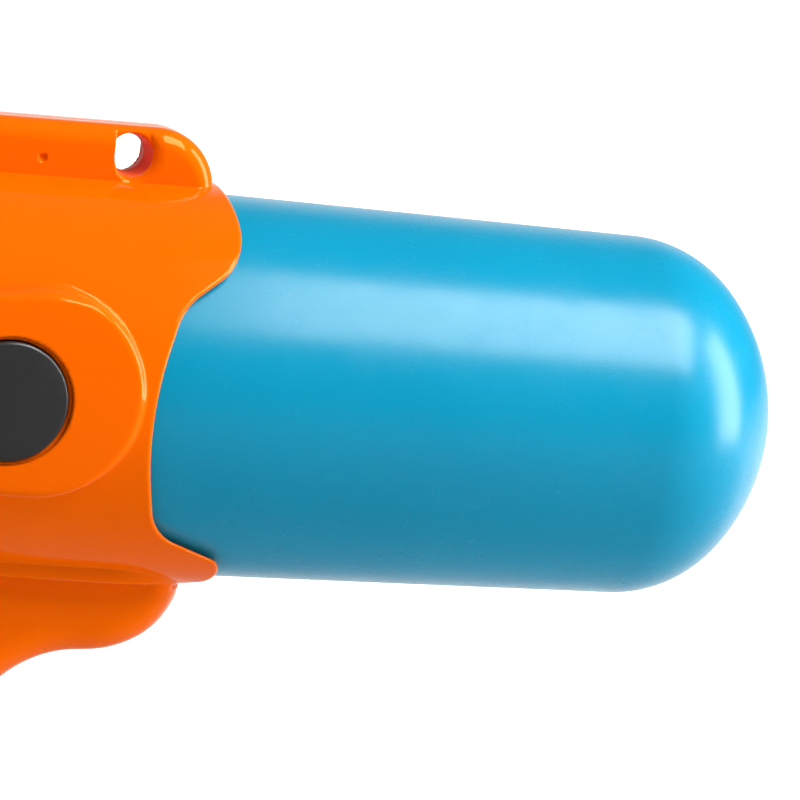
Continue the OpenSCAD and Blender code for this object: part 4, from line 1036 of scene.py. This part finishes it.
def floor_material():
    """Pale and matt. It fades to white behind and far from the object, and is dim in reflections."""
    material, nodes, links, shader = new_material("floor_pale")
    shader.inputs["Roughness"].default_value = FLOOR_ROUGH
    shader.inputs["Emission Color"].default_value = (1, 1, 1, 1)
    place = nodes.new("ShaderNodeTexCoord")
    path = nodes.new("ShaderNodeLightPath")
    distance = nodes.new("ShaderNodeVectorMath")
    distance.operation = "LENGTH"
    links.new(place.outputs["Object"], distance.inputs[0])
    split = nodes.new("ShaderNodeSeparateXYZ")
    links.new(place.outputs["Object"], split.inputs["Vector"])
    behind = ranged(nodes, links, split.outputs["Y"], 0, FLOOR_GLOW, *GLOW_BEHIND)
    far = ranged(nodes, links, distance.outputs["Value"], 0, FLOOR_GLOW, *GLOW_FAR)
    around = reckon(nodes, links, "MULTIPLY", far, path.outputs["Is Camera Ray"])
    glow = reckon(nodes, links, "MAXIMUM", behind, around)
    lift = nodes.new("ShaderNodeMath")
    lift.operation = "MULTIPLY_ADD"
    lift.inputs[1].default_value = FLOOR_LIFT
    links.new(path.outputs["Is Camera Ray"], lift.inputs[0])
    links.new(when_seen(nodes, links, 0.0, glow), lift.inputs[2])
    links.new(lift.outputs["Value"], shader.inputs["Emission Strength"])
    mirrored = ranged(nodes, links, split.outputs["Y"], FLOOR_DIM, FLOOR_PALE, *FLOOR_DIM_Y)
    shade = nodes.new("ShaderNodeMapRange")
    shade.inputs["To Min"].default_value = FLOOR_PALE
    links.new(mirrored, shade.inputs["To Max"])
    links.new(path.outputs["Is Glossy Ray"], shade.inputs["Value"])
    links.new(shade.outputs["Result"], shader.inputs["Base Color"])
    return material


def pale_floor():
    """A wide floor that keeps the object's shadow."""
    mesh = bpy.data.meshes.new("floor")
    corners = [(x * FLOOR_HALF, y * FLOOR_HALF, 0) for x, y in ((-1, -1), (1, -1), (1, 1), (-1, 1))]
    mesh.from_pydata(corners, [], [(0, 1, 2, 3)])
    mesh.materials.append(floor_material())
    floor = bpy.data.objects.new("floor", mesh)
    bpy.context.scene.collection.objects.link(floor)


def softbox(name, place, turn, size, power):
    """A rectangular lamp: its place from the mouth, its turn in degrees and its power in watts."""
    data = bpy.data.lights.new(name, "AREA")
    data.shape = "RECTANGLE"
    data.size, data.size_y = size
    data.energy = power
    light = bpy.data.objects.new(name, data)
    light.location = Vector(ORIGIN) + Vector(place)
    light.rotation_euler = [radians(angle) for angle in turn]
    bpy.context.scene.collection.objects.link(light)


def studio_world():
    """A room that is white behind the object and dim in front of it."""
    world = bpy.data.worlds.new("studio")
    world.use_nodes = True
    nodes, links = world.node_tree.nodes, world.node_tree.links
    place = nodes.new("ShaderNodeTexCoord")
    split = nodes.new("ShaderNodeSeparateXYZ")
    links.new(place.outputs["Generated"], split.inputs["Vector"])
    room = ranged(nodes, links, split.outputs["Y"], *ROOM_LIGHT, *ROOM_BEHIND)
    links.new(when_seen(nodes, links, FILL_LIGHT, room), nodes["Background"].inputs["Strength"])
    nodes["Background"].inputs["Color"].default_value = (1, 1, 1, 1)
    bpy.context.scene.world = world


pale_floor()
studio_world()
softbox("key_softbox", place=(1.0, -0.9, 1.65), turn=(28, 0, 0), size=(1.0, 1.4), power=60)
softbox("edge_softbox", place=(1.55, -0.28, 0.45), turn=(90, 0, 90), size=(0.7, 1.7), power=38)
bpy.context.scene.view_settings.view_transform = "Standard"
